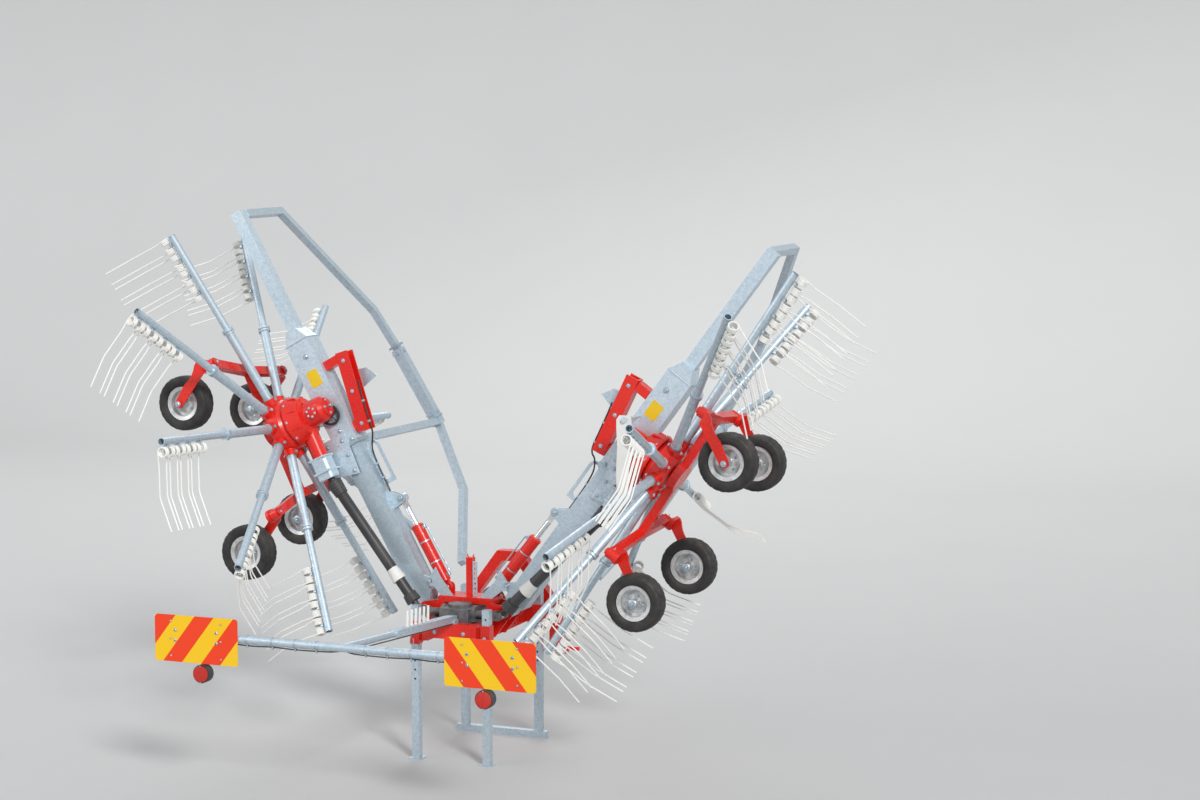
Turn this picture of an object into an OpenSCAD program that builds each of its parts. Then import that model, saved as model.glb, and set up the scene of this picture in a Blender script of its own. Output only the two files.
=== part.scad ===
// Twin rotor hay rake, folded for transport and standing on its parking legs.
// X is to the right, Y is forward (the way it is towed), Z is up.
// Each side is drawn in its own arm frame: x outwards along the arm, y forward,
// z upwards in the working position, with the fold pin as the origin.

/* [Stance] */
// Height of the fold pins above the floor
pivot_z = 950; // [940:5:990]
// Distance of a fold pin from the centre plane
pivot_x = 285; // [280:5:320]
// Angle of the left rotor plane from upright, in degrees
fold_left = 25.4; // [22:0.2:36]
// Angle of the right rotor plane from upright, in degrees
fold_right = 33.5; // [24:0.5:38]
// Droop of the arm below the rotor plane, in degrees
arm_droop = 3.4; // [3:0.1:4]

/* [Arm] */
// Depth of the inner beam
beam_h = 150; // [140:5:155]
// Width of the inner beam
beam_w = 120; // [100:5:130]
// Length of the inner beam, into its sleeve
beam_len = 1300; // [1280:10:1320]
// Depth of the sleeve that carries the rotor
head_h = 180; // [172:2:190]
// Start of the sleeve along the arm
head_start = 1180; // [1160:10:1200]
// Length of the full-depth sleeve
head_len = 780; // [740:10:800]
// Side of the slim outer tube
outer_w = 80; // [70:5:90]
// Length of the whole arm
arm_len = 2940; // [2900:10:2980]

/* [Guard] */
// Side of the guard tube
guard_w = 50; // [40:2:56]
// Side of the sleeve on the guard
guard_sleeve_w = 76; // [66:2:84]
// Level of the guard below the rotor plane's origin
guard_level = 150; // [145:1:155]

/* [Rotor] */
// Distance of the rotor axis from the fold pin
rotor_u = 1470; // [1465:5:1500]
// Offset of the rotor axis behind the arm
rotor_back = 170; // [166:2:180]
// Level of the tine arms below the fold pin
arm_level = 390; // [385:1:395]
// Radius at the tips of the tine arms
rotor_r = 1460; // [1440:5:1464]
// Number of tine arms
arm_count = 10; // [8:1:11]
// Turn of the left rotor at rest, in degrees
phase_left = -15.5; // [-18:0.5:18]
// Turn of the right rotor at rest, in degrees
phase_right = 1; // [-18:0.5:18]
// Diameter of the inner tine arm tube
inner_d = 60; // [56:1:64]
// Diameter of the outer tine arm tube
outer_d = 48; // [42:1:50]
// Radius at the bolted collar
collar_r = 720; // [680:10:760]

/* [Tines] */
// Double tines on each arm
tine_count = 4; // [3:1:4]
// Spacing of the double tines along the arm
tine_pitch = 118; // [112:2:120]
// Distance of the outermost double tine from the tip
tine_first = 54; // [52:2:60]
// Spacing of the two legs of a double tine
leg_gap = 80; // [74:2:84]
// Wire diameter
wire_d = 9; // [8:0.5:10]
// Outer diameter of a tine's coils
coil_d = 70; // [66:1:74]
// Distance of the coils' axis from the arm tube's axis
coil_drop = 66; // [64:1:70]
// Length of a tine leg down to its knee
wire_upper = 275; // [255:5:280]
// Length of a tine leg below its knee
wire_lower = 218; // [190:2:220]
// Bend at the knee, in degrees
wire_bend = 20; // [10:1:28]

/* [Undercarriage] */
// Distance of the rear kingpins from the rotor axis, along the arm
king_rear = 530; // [500:5:534]
// Distance of the front kingpins from the rotor axis, along the arm
king_front = 410; // [380:5:440]
// Distance of the kingpins from the rotor axis, across the arm
king_v = 400; // [380:5:404]
// Trail of a castor wheel
trail = 150; // [140:1:151]
// Tyre diameter
tyre_d = 360; // [350:2:362]
// Tyre width
tyre_w = 130; // [110:2:132]
// Rim diameter
rim_d = 200; // [180:2:210]
// Depth of the square undercarriage beams
under_w = 55; // [50:1:60]

/* [Legs] */
// Side of a parking leg
leg_w = 50; // [44:2:52]
// Length of a rear parking leg
leg_len = 1010; // [970:10:1070]
// Distance of the rear legs from the centre plane
leg_x = 250; // [248:1:252]
// Distance of the front stand's posts from the centre plane
stand_x = 270; // [262:2:280]
// Place of the front stand along the machine
stand_y = 500; // [480:5:510]

/* [Headstock] */
// Height of the lower link pins
link_z = 590; // [580:5:630]
// Distance between the shoulders of the lower link pins
link_span = 825; // [815:5:835]
// Diameter of the lower link pins
link_d = 28.4; // [22:0.1:29]
// Height of the top link bore above the lower link pins
mast_h = 610; // [590:5:625]
// Diameter of the top link bore
top_d = 25.7; // [19.3:0.1:26]

/* [Lights] */
// Width of a warning board
board_w = 564; // [540:2:580]
// Height of a warning board
board_h = 282; // [270:2:290]
// Overall width over the boards
lights_w = 2470; // [2430:10:2500]
// Distance of the light bar behind the fold pins
lights_y = 1800; // [1780:5:1860]
// Height of the light bar above the fold pins
lights_z = 90; // [80:5:110]

/* [Hidden] */

LEFT = -1;
RIGHT = 1;
// Places the outline's centre over the origin.
centre_x = -160.9;
centre_y = 150.5;

red = "firebrick";
zinc = "lightsteelblue";
black = [0.1, 0.1, 0.1];

run_gap = 0.1;         // radial clearance of a pin in its bush
slide_gap = 0.3;        // clearance of a leg in its sleeve
side_gap = 3;          // gap beside a hinged eye

function fold(side) = side < 0 ? fold_left : fold_right;
function phase(side) = side < 0 ? phase_left : phase_right;

// A point of the arm frame, seen in the machine's x and z from the fold pin.
function out_x(side, u, w) = u * sin(fold(side)) - w * cos(fold(side));
function out_z(side, u, w) = u * cos(fold(side)) + w * sin(fold(side));

module place() translate([centre_x, centre_y, 0]) children();
module flip(side) mirror([side < 0 ? 1 : 0, 0, 0]) children();
module at_pivot(side) place() flip(side) translate([pivot_x, 0, pivot_z]) children();
module on_unit(side) at_pivot(side) rotate([0, fold(side) - 90, 0]) children();
module on_beam(side) on_unit(side) rotate([0, arm_droop, 0]) children();
module on_rotor(side) on_unit(side) translate([rotor_u, -rotor_back, 0]) children();

// A box given by its low corner and its high corner.
module span(low, high) translate(low) cube(high - low);
// A round bar along Y, from y0 to y1.
module bar_y(d, y0, y1) translate([0, y1, 0]) rotate([90, 0, 0]) cylinder(d = d, h = y1 - y0, $fn = 48);
// A round bar along X, from x0 to x1.
module bar_x(d, x0, x1) translate([x0, 0, 0]) rotate([0, 90, 0]) cylinder(d = d, h = x1 - x0, $fn = 48);
// A flat plate in the XZ plane, from y0 to y1.
module plate_y(y0, y1) translate([0, y1, 0]) rotate([90, 0, 0]) linear_extrude(y1 - y0) children();
// A line of constant width with mitred corners, through a list of points.
function normal(a, b) = [a[1] - b[1], b[0] - a[0]] / norm(b - a);
function mitre(points, i) =
  let (n = len(points) - 1, a = normal(points[max(i - 1, 0)], points[max(i, 1)]),
       b = normal(points[min(i, n - 1)], points[min(i + 1, n)]))
  (a + b) / (1 + a * b);
module stroke(points, width) {
  edge = [for (i = [0 : len(points) - 1]) mitre(points, i) * width / 2];
  polygon(concat(points + edge, [for (i = [len(points) - 1 : -1 : 0]) points[i] - edge[i]]));
}

// Centre section
rail_in = 150;
rail_out = 190;
rail_top = pivot_z - 40;
rail_bottom = pivot_z - 160;
rail_front = 620;
rail_back = -340;
cross_w = 60;
pin_d = 40;
bush_d = 70;
bush_w = beam_w + 30;
ear_t = 12;
ear_in = bush_w / 2 + side_gap;
table_top = pivot_z + 90;
table_t = 40;
table_y = ear_in + ear_t;
cyl_y = 20;            // plane of the fold cylinders
cyl_base = [pivot_x - 115, pivot_z + 130];
cyl_pin_d = 25;
base_eye_w = 30;
base_eye_d = 70;
base_ear_t = 12;
// Locking pin on the arm, in the arm frame
lock_u = 152;
lock_w = 100;
lock_d = 22;
hook_t = 10;
hook_y = -bush_w / 2 + hook_t;
function lock_x(side) = pivot_x + out_x(side, lock_u, lock_w);
function lock_z(side) = pivot_z + out_z(side, lock_u, lock_w);

// Legs
leg_y = -300;
sleeve_wall = 6;
sleeve_w = leg_w + 2 * (slide_gap + sleeve_wall);
sleeve_h = 150;
foot_w = 90;
foot_t = 8;
hole_d = 14;
hole_pitch = 60;

module ear_profile() {
  translate([pivot_x, pivot_z]) circle(d = bush_d + 20, $fn = 48);
  polygon([[rail_in, rail_bottom], [rail_out + 20, rail_bottom], [pivot_x + 45, pivot_z],
           [pivot_x, pivot_z + 45], [rail_in, table_top - table_t / 2]]);
}

module sleeve(x, y, top) {
  difference() {
    union() {
      span([x - sleeve_w / 2, y - sleeve_w / 2, top - sleeve_h], [x + sleeve_w / 2, y + sleeve_w / 2, top]);
      span([rail_out, y - 8, top - sleeve_h + 20], [x - leg_w / 2 - slide_gap - 1, y + 8, top - 20]);
    }
    span([x - leg_w / 2 - slide_gap, y - leg_w / 2 - slide_gap, top - sleeve_h - 1],
         [x + leg_w / 2 + slide_gap, y + leg_w / 2 + slide_gap, top + 1]);
  }
}

module centre_half() {
  span([rail_in, rail_back, rail_bottom], [rail_out, rail_front, rail_top]);
  for (y0 = [-ear_in - ear_t, ear_in]) plate_y(y0, y0 + ear_t) ear_profile();
  translate([pivot_x, 0, pivot_z]) bar_y(pin_d, -ear_in - ear_t - 8, ear_in + ear_t + 8);
  sleeve(leg_x, leg_y, rail_top);
  sleeve(stand_x, stand_y, rail_top);
  for (s = [-1, 1]) {
    y0 = cyl_y + s * (base_eye_w / 2 + side_gap + base_ear_t / 2) - base_ear_t / 2;
    plate_y(y0, y0 + base_ear_t) {
      translate(cyl_base) circle(d = base_eye_d, $fn = 48);
      translate([cyl_base[0] - base_eye_d / 2, table_top]) square([base_eye_d - 15, cyl_base[1] - table_top]);
    }
  }
  translate([cyl_base[0], cyl_y, cyl_base[1]])
    bar_y(cyl_pin_d, -base_eye_w / 2 - side_gap - 1, base_eye_w / 2 + side_gap + 1);
}

module centre_frame() color(red) place() {
  centre_half();
  mirror([1, 0, 0]) centre_half();
  span([-rail_in, rail_back, rail_bottom + 20], [rail_in, rail_back + cross_w, rail_top]);
  span([-rail_in, rail_front - cross_w, rail_bottom], [rail_in, rail_front, rail_top - 20]);
  span([-rail_out, -table_y, table_top - table_t], [rail_out, table_y, table_top]);
}

// Headstock
head_y0 = rail_front;
head_t = 80;
link_y = head_y0 + head_t / 2;
top_y = head_y0 + head_t + 30;
mast_top = link_z + mast_h;
mast_w = 70;
lug_t = 12;
lug_gap = 52;
link_len = 85;

module headstock() color(red) place() {
  knee_x = link_span / 2 - 80;
  difference() {
    union() {
      plate_y(head_y0, head_y0 + head_t) {
        stroke([[-knee_x, link_z], [-knee_x, rail_top - 60], [-mast_w, mast_top], [mast_w, mast_top],
                [knee_x, rail_top - 60], [knee_x, link_z]], mast_w);
        translate([-knee_x, rail_bottom]) square([2 * knee_x, rail_top - rail_bottom]);
      }
      for (s = [-1, 1]) {
        translate([s * (link_span / 2 - 22.5), link_y, link_z]) bar_x(80, -22.5, 22.5);
        span([s * (link_span / 2 - 40) - 15, head_y0, link_z - 35],
             [s * (link_span / 2 - 40) + 15, head_y0 + head_t, link_z + 35]);
        translate([0, link_y, link_z]) bar_x(link_d, s > 0 ? link_span / 2 - 1 : -link_span / 2 - link_len,
                                             s > 0 ? link_span / 2 + link_len : -link_span / 2 + 1);
        span([s * (lug_gap + lug_t) / 2 - lug_t / 2, head_y0 + head_t - 1, mast_top - 32],
             [s * (lug_gap + lug_t) / 2 + lug_t / 2, top_y, mast_top + 32]);
        translate([0, top_y, mast_top]) bar_x(64, s * (lug_gap + lug_t) / 2 - lug_t / 2,
                                              s * (lug_gap + lug_t) / 2 + lug_t / 2);
      }
    }
    translate([0, top_y, mast_top]) bar_x(top_d, -lug_gap, lug_gap);
  }
}

// Central gearbox
box_y = -rotor_back;
box_w = 200;
box_l = 200;
box_h = 150;
pto_d = 34.9;
pto_len = 80;
pto_y = 340;
joint_w = 27;
yoke_t = 12;
stub_d = 50;

module centre_gearbox() color([0.25, 0.25, 0.27]) place() {
  translate([0, box_y, pivot_z]) {
    span([-box_w / 2, -box_l / 2, -box_h / 2], [box_w / 2, box_l / 2, box_h / 2 - 30]);
    translate([0, 0, box_h / 2 - 31]) cylinder(d = 150, h = 21, $fn = 64);
    for (s = [-1, 1]) scale([s, 1, 1]) {
      bar_x(110, box_w / 2 - 1, box_w / 2 + 20);
      bar_x(stub_d, box_w / 2 + 19, pivot_x - 55);
      span([pivot_x - 56, -joint_w - side_gap - yoke_t, -25],
           [pivot_x - 40, joint_w + side_gap + yoke_t, 25]);
      for (k = [-1, 1]) {
        y0 = k * (joint_w + side_gap + yoke_t / 2) - yoke_t / 2;
        plate_y(y0, y0 + yoke_t) {
          translate([pivot_x, 0]) circle(d = 50, $fn = 40);
          translate([pivot_x - 41, -25]) square([41, 50]);
        }
      }
    }
  }
  translate([0, 0, pivot_z]) {
    bar_y(80, box_y + box_l / 2 - 1, pto_y - pto_len);
    bar_y(pto_d, pto_y - pto_len - 1, pto_y);
  }
  // Feet that stand on the rails
  for (s = [-1, 1]) scale([s, 1, 1])
    span([box_w / 2 - 10, box_y - 50, rail_top], [rail_out - 10, box_y + 50, rail_top + 12]);
}

// Lock hooks and guide post
module hook_profile(side) {
  lx = lock_x(side);
  lz = lock_z(side);
  difference() {
    polygon([[cyl_base[0] - 75, table_top], [cyl_base[0] + 15, table_top], [lx - 32, lz - 38],
             [lx + 2, lz - 36], [lx + 6, lz - 20], [lx + 6, lz + 22], [lx - 4, lz + 40],
             [lx - 40, lz + 92], [lx - 74, lz + 30]]);
    translate([lx, lz]) circle(d = lock_d + 10, $fn = 32);
    translate([lx, lz - lock_d / 2 - 5]) square([60, lock_d + 10]);
  }
}

module lock_hooks() color(zinc) place()
  for (side = [LEFT, RIGHT]) flip(side) plate_y(hook_y - hook_t, hook_y) hook_profile(side);

post_w = 46;
post_h = 250;
module guide_post() color(red) place() {
  span([-post_w / 2, -post_w / 2, table_top], [post_w / 2, post_w / 2, table_top + post_h]);
  for (s = [-1, 1]) translate([s * 16, 0, table_top + post_h - 1])
    rotate([0, s * 20, 0]) cylinder(d = 8, h = 22, $fn = 20);
}

// Lights
light_foot = [0, rail_back + cross_w, rail_top + 25];
light_bar_d = 50;
light_len = norm([lights_y + light_foot[1], pivot_z + lights_z - light_foot[2]]);
light_tilt = atan2(pivot_z + lights_z - light_foot[2], lights_y + light_foot[1]);
board_t = 4;
lamp_d = 110;
lamp_back = light_bar_d / 2 - 3;
lamp_x = lights_w / 2 - board_w / 2 - 35;
lamp_z = pivot_z + lights_z - 222;

module light_arm() color(zinc) place() {
  translate(light_foot) rotate([-light_tilt, 0, 0]) difference() {
    union() {
      span([-30, -light_len * 0.56, -22], [30, 0, 22]);
      bar_y(42, -light_len, -light_len * 0.5);
    }
    for (i = [1 : 12])
      translate([0, -light_len * 0.56 + 20 + i * 58, -30]) cylinder(d = 18, h = 60, $fn = 24);
  }
  // Saddle on the rear crossmember
  span([-40, rail_back, rail_top], [40, rail_back + cross_w, rail_top + 24]);
  translate([0, -lights_y, pivot_z + lights_z]) {
    bar_x(light_bar_d, -lights_w / 2 + 120, lights_w / 2 - 120);
    // Straps that hold the lamps by their backs
    for (s = [-1, 1]) span([s * lamp_x - 20, lamp_back, lamp_z - pivot_z - lights_z - 30],
                           [s * lamp_x + 20, lamp_back + 8, 10]);
  }
}

module warning_boards() color("gold") place()
  for (s = [-1, 1])
    translate([s * (lights_w - board_w) / 2, -lights_y - light_bar_d / 2 - board_t, pivot_z + lights_z - 20])
    plate_y(0, board_t) difference() {
      square([board_w, board_h], center = true);
      for (a = [-1, 1], b = [-1, 1]) translate([a * (board_w / 2), b * (board_h / 2)]) difference() {
        square(32, center = true);
        translate([-a * 16, -b * 16]) circle(r = 16, $fn = 32);
      }
    }

module rear_lamps() color("red") place()
  for (s = [-1, 1]) translate([s * lamp_x, -lights_y, lamp_z]) {
    bar_y(lamp_d, -40, lamp_back);
    bar_y(lamp_d - 14, -48, -39);
  }

// Parking legs, with a row of holes down from the top
holes_len = 480;
module leg_tube(h) difference() {
  translate([-leg_w / 2, -leg_w / 2, 0]) cube([leg_w, leg_w, h]);
  translate([-leg_w / 2 + 4, -leg_w / 2 + 4, foot_t]) cube([leg_w - 8, leg_w - 8, h]);
  for (z = [h - holes_len : hole_pitch : h - 30]) translate([0, 0, z]) bar_y(hole_d, -leg_w, leg_w);
}

module parking_leg(side) color(zinc) place() flip(side) translate([leg_x, leg_y, 0]) {
  leg_tube(leg_len);
  translate([-foot_w / 2, -foot_w / 2, 0]) cube([foot_w, foot_w, foot_t]);
}

module front_stand() color(zinc) place() {
  for (s = [-1, 1]) translate([s * stand_x, stand_y, 0]) leg_tube(leg_len);
  span([-stand_x - 60, stand_y - leg_w / 2, 0], [stand_x + 60, stand_y + leg_w / 2, 45]);
}

// Main arm
lug_u = 720;           // rod end lug along the beam
lug_w = 150;           // rod end lug above the beam's axis
eye_w = 24;
eye_d = 64;
loop_u = 850;
loop_len = 310;
loop_h = 90;
cheek_t = 12;

module arm_beam(side) color(zinc) on_beam(side) {
  root = 30;
  slope = 90;
  difference() {
    union() {
      plate_y(-beam_w / 2, beam_w / 2)
        polygon([[root, -beam_h / 4], [slope, -beam_h / 2], [beam_len, -beam_h / 2],
                 [beam_len, beam_h / 2], [slope, beam_h / 2], [root, beam_h / 4]]);
      plate_y(-beam_w / 2, beam_w / 2) translate([0, -beam_h / 4]) square([root + 5, beam_h / 2]);
      bar_y(bush_d, -bush_w / 2, bush_w / 2);
    }
    bar_y(pin_d + 2 * run_gap, -bush_w, bush_w);
  }
  // Cheeks for the rod's eye, with stub pins that end just short of it
  for (s = [-1, 1]) {
    y0 = cyl_y + s * (eye_w / 2 + side_gap + cheek_t / 2) - cheek_t / 2;
    plate_y(y0, y0 + cheek_t) {
      translate([lug_u, lug_w]) circle(d = eye_d, $fn = 48);
      polygon([[lug_u - 40, beam_h / 2 - 1], [lug_u + 90, beam_h / 2 - 1],
               [lug_u + eye_d / 2, lug_w], [lug_u - eye_d / 2, lug_w]]);
    }
    pin_end = eye_w / 2 + side_gap + cheek_t + 8;
    translate([lug_u, cyl_y, lug_w])
      bar_y(cyl_pin_d, s > 0 ? eye_w / 2 + 0.5 : -pin_end, s > 0 ? pin_end : -eye_w / 2 - 0.5);
  }
  // Slotted loop on top
  plate_y(26, 38) difference() {
    union() {
      translate([loop_u, beam_h / 2 - 1]) square([loop_len - loop_h / 2, loop_h]);
      translate([loop_u + loop_len - loop_h / 2, beam_h / 2 - 1 + loop_h / 2]) circle(d = loop_h, $fn = 48);
    }
    for (k = [loop_u + 50, loop_u + loop_len - loop_h / 2])
      translate([k, beam_h / 2 - 1 + loop_h / 2]) circle(d = loop_h - 40, $fn = 48);
    translate([loop_u + 50, beam_h / 2 + 19]) square([loop_len - loop_h / 2 - 50, loop_h - 40]);
  }
  // Ear and pin that the lock hook catches
  rotate([0, -arm_droop, 0]) {
    plate_y(-beam_w / 2, -beam_w / 2 + 12) {
      translate([lock_u, lock_w]) circle(d = lock_d + 22, $fn = 40);
      polygon([[lock_u - 50, 50], [lock_u + 60, 50], [lock_u + 22, lock_w], [lock_u - 22, lock_w]]);
    }
    translate([lock_u, 0, lock_w]) bar_y(lock_d, hook_y - hook_t - 8, -beam_w / 2 + 1);
  }
}

head_w = beam_w + 30;
head_end = head_start + head_len;
bracket_t = 12;
bracket_in = 100;
bracket_out = 180;
bracket_low = 300;

module arm_head(side) color(zinc) {
  if (side == RIGHT) on_unit(side) translate([flap_u, 0, flap_w]) {
    bar_y(hanger_d, flap_y - flap_t - 12, -head_w / 2 + 2);
    bar_y(hanger_d + 16, flap_y - flap_t - 16, flap_y - flap_t - 4);
    bar_y(hanger_d + 16, flap_y + 4, flap_y + 16);
  }
  on_beam(side) difference() {
    union() {
      plate_y(-head_w / 2, head_w / 2)
        polygon([[head_start, -head_h / 2], [head_end, -head_h / 2], [head_end + 90, -outer_w / 2],
                 [head_end + 90, outer_w / 2], [head_end, head_h / 2], [head_start, head_h / 2]]);
      span([head_end, -outer_w / 2, -outer_w / 2], [arm_len, outer_w / 2, outer_w / 2]);
    }
    span([head_start - 1, -beam_w / 2, -beam_h / 2], [beam_len, beam_w / 2, beam_h / 2]);
  }
  // Bracket that holds the gearbox's input
  on_unit(side) {
    plate_y(-head_w / 2 - bracket_t, -head_w / 2 + 2)
      polygon([[snout_u - bracket_in, -60], [snout_u + bracket_out, -50], [snout_u + bracket_out, -240],
               [snout_u, -bracket_low], [snout_u - 60, 20 - bracket_low]]);
    snout_line() translate([0, 0, -bracket_t]) difference() {
      span([-60, -75, 0], [62, rotor_back - head_w / 2 - 1, bracket_t]);
      translate([0, 0, -1]) cylinder(d = 64, h = bracket_t + 2, $fn = 48);
    }
  }
}

// White flap that hangs behind the right rotor's gearbox, and the bar that it hangs from
flap_u = 1600;
flap_w = -30;
flap_y = -310;
flap_t = 10;
hanger_d = 20;
flap_x = pivot_x + out_x(RIGHT, flap_u, flap_w);
flap_z = pivot_z + out_z(RIGHT, flap_u, flap_w);
// Columns: drop below the bar, sideways place of the middle, width
flap_cuts = [[-26, 0, 70], [0, -6, 96], [60, -4, 100], [170, -2, 92], [300, -14, 82],
             [420, -14, 78], [510, -4, 62], [530, 0, 50]];
module flap() color("white") place() plate_y(flap_y - flap_t, flap_y) difference() {
  one_edge = [for (c = flap_cuts) [flap_x + c[1] - c[2] / 2, flap_z - c[0]]];
  other_edge = [for (c = flap_cuts) [flap_x + c[1] + c[2] / 2, flap_z - c[0]]];
  polygon(concat(one_edge, [for (i = [len(other_edge) - 1 : -1 : 0]) other_edge[i]]));
  translate([flap_x, flap_z]) circle(d = hanger_d + 0.6, $fn = 48);
}

// Guard: points along the arm and forward of it, in the arm frame
guard_path = [[arm_len - 30, 0], [arm_len - 15, 520], [2130, 1260], [1820, 1370],
              [1210, 1510], [700, 1450], [200, 960]];
sleeve_from = 3;
strut_u = 1230;
strut_end = guard_path[sleeve_from + 1][1] - 5;

module guard(side) color(zinc) on_unit(side) translate([0, 0, -guard_level]) {
  difference() {
    union() {
      translate([0, 0, -guard_w / 2]) linear_extrude(guard_w) stroke(guard_path, guard_w);
      translate([0, 0, -guard_sleeve_w / 2]) linear_extrude(guard_sleeve_w)
        stroke([guard_path[sleeve_from], guard_path[sleeve_from + 1]], guard_sleeve_w);
      span([strut_u - guard_w / 2, head_w / 2, -guard_w / 2],
           [strut_u + guard_w / 2, strut_end, guard_w / 2]);
    }
    // The tube butts against the side of the slim arm
    span([arm_len - 200, -100, -100], [arm_len + 100, outer_w / 2, 100]);
  }
}

// Drive shaft along a line from the fold axis to the gearbox input
input_u = 1040;
input_w = -225;
shaft_len = norm([input_u, input_w]);
shaft_tilt = atan2(-input_w, input_u);
shaft_end = shaft_len - 3;
module shaft_line() translate([0, -rotor_back, 0]) rotate([0, 90 + shaft_tilt, 0]) children();
// The gearbox's input snout lies level, just beyond the shaft's end
snout_u = input_u + 50;
snout_w = input_w - 8;
snout_d = 108;
module snout_line() translate([snout_u, -rotor_back, snout_w]) rotate([0, 90, 0]) children();

// Columns: distance along the shaft, diameter
shaft_rings = [[30, 44], [70, 44], [70, 104], [130, 92], [130, 70], [240, 70], [240, 100], [330, 72],
               [330, 76], [shaft_end - 135, 76], [shaft_end - 135, 92], [shaft_end - 35, 110],
               [shaft_end - 35, 46], [shaft_end, 46]];
module drive_shaft(side) color(black) on_unit(side) {
  shaft_line() {
    rotate_extrude($fn = 48)
      polygon(concat([[0, 20]], [for (r = shaft_rings) [r[1] / 2, r[0]]], [[0, shaft_end]]));
  }
  translate([0, -rotor_back, 0]) bar_y(42, -joint_w, joint_w);
}

// Gearbox on the arm with its ribbed dome and the fixed axle through the hub
dome_r = 165;
dome_low = 300;
axle_d = 70;
axle_low = 452;
neck_d = 170;

module gearbox(side) color(red) {
  on_rotor(side) {
    rotate_extrude($fn = 96)
      polygon([[0, -axle_low], [axle_d / 2, -axle_low], [axle_d / 2, -dome_low], [dome_r, -dome_low],
               [dome_r + 4, -dome_low + 12], [130, -198], [neck_d / 2 + 6, -186],
               [neck_d / 2, -70], [60, -45], [0, -45]]);
    for (i = [0 : 7]) rotate(i * 45 + 22.5) plate_y(-4, 4)
      polygon([[60, -dome_low + 6], [dome_r + 2, -dome_low + 6], [dome_r - 12, -215],
               [neck_d / 2 + 18, -192], [neck_d / 2 - 2, -150], [60, -150]]);
    span([-60, 0, -170], [60, rotor_back - head_w / 2, -70]);
  }
  on_unit(side) {
    snout_line() cylinder(d = snout_d, h = rotor_u - snout_u - 60, $fn = 64);
    shaft_line() translate([0, 0, shaft_end]) cylinder(d = 40, h = 80, $fn = 40);
  }
}

// Red hydraulic setting channel on top of the sleeve
channel_from = 1240;
channel_len = 540;
channel_w = 90;
channel_h = 88;
channel_t = 10;
channel_tilt = 11;
module setting_channel(side) color(red) on_beam(side) translate([channel_from, 0, head_h / 2]) {
  rotate([0, -channel_tilt, 0]) translate([0, 0, channel_t + 2]) {
    for (s = [-1, 1]) span([0, s * (channel_w - channel_t) / 2 - channel_t / 2, 0],
                           [channel_len, s * (channel_w - channel_t) / 2 + channel_t / 2, channel_h]);
    span([0, -channel_w / 2, 0], [channel_len, channel_w / 2, channel_t]);
  }
  // Feet on the sleeve, up into the channel's floor
  for (u = [20, channel_len - 80])
    span([u, 4 - channel_w / 2, 0], [u + 60, channel_w / 2 - 4, channel_t * 1.7 + u * sin(channel_tilt)]);
}

// Undercarriage and castors
under_top = axle_low;
king_d = 30;
king_bush = 70;
king_cap = 12;
// Columns: along the arm, across the arm, side of the fork's arm
kings = [[king_rear, -king_v, -1], [king_front, king_v, 1],
         [-king_front, king_v, 1], [-king_rear, -king_v, 1]];
beam_bow = 26;
wheel_w = pivot_z;     // a wheel touches the floor in the working position
crown_t = 24;
crown_top = under_top + under_w + 2;
fork_w = tyre_w / 2 + 12;
fork_t = 14;
wheel_axle_d = 20;
axle_z = -wheel_w + tyre_d / 2;

module undercarriage(side) color(red) on_rotor(side) translate([0, 0, -under_top - under_w]) {
  difference() {
    union() {
      cylinder(d = 190, h = under_w, $fn = 64);
      span([-king_rear * 0.86, -30, 0], [king_rear * 0.86, 30, under_w]);
      // Cross beams between the kingpins of one end
      for (end = [[0, 1], [3, 2]]) linear_extrude(under_w) cross_beam(kings[end[0]], kings[end[1]]);
      for (k = kings) translate([k[0], k[1], 0]) cylinder(d = king_bush, h = under_w, $fn = 48);
    }
    for (k = kings) translate([k[0], k[1], -1]) cylinder(d = king_d + 2 * run_gap, h = under_w + 2, $fn = 48);
  }
}

module cross_beam(a, b) {
  difference() {
    stroke([[a[0], a[1]], [(a[0] + b[0]) / 2 - sign(a[0]) * beam_bow, 0], [b[0], b[1]]], 56);
    for (k = [a, b]) translate([k[0], k[1]]) circle(d = king_bush - 4, $fn = 48);
  }
}

module at_king(side, n) on_rotor(side) translate([kings[n - 1][0], kings[n - 1][1], 0]) children();
module at_wheel(side, n) at_king(side, n) translate([-trail, 0, axle_z]) children();

// A castor whose fork has one swept arm, on the outside or the inside of its wheel
module castor(side, n) color(red) at_king(side, n) {
  s = kings[n - 1][2];
  y0 = s * (fork_w + fork_t / 2) - fork_t / 2;
  translate([0, 0, -crown_top - 1]) cylinder(d = king_d, h = crown_top - under_top + king_cap, $fn = 48);
  translate([0, 0, -under_top + 2]) cylinder(d = 46, h = king_cap, $fn = 40);
  translate([0, 0, -crown_top - crown_t]) {
    cylinder(d = 84, h = crown_t, $fn = 64);
    span([-42, s > 0 ? 0 : y0, 0], [42, s > 0 ? y0 + fork_t : 0, crown_t]);
  }
  plate_y(y0, y0 + fork_t) difference() {
    union() {
      polygon([[-42, -crown_top - 1], [42, -crown_top - 1], [42, -crown_top - crown_t],
               [-trail + 26, axle_z - 12], [-trail - 26, axle_z + 12]]);
      translate([-trail, axle_z]) circle(d = 58, $fn = 48);
    }
    translate([134, axle_z + 58]) circle(r = 190, $fn = 96);
    translate([-trail - 170, axle_z + 190]) circle(r = 178, $fn = 96);
  }
  translate([-trail, 0, axle_z]) bar_y(wheel_axle_d, s > 0 ? -tyre_w / 2 - 16 : -fork_w - fork_t - 10,
                                       s > 0 ? fork_w + fork_t + 10 : tyre_w / 2 + 16);
}

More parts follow.
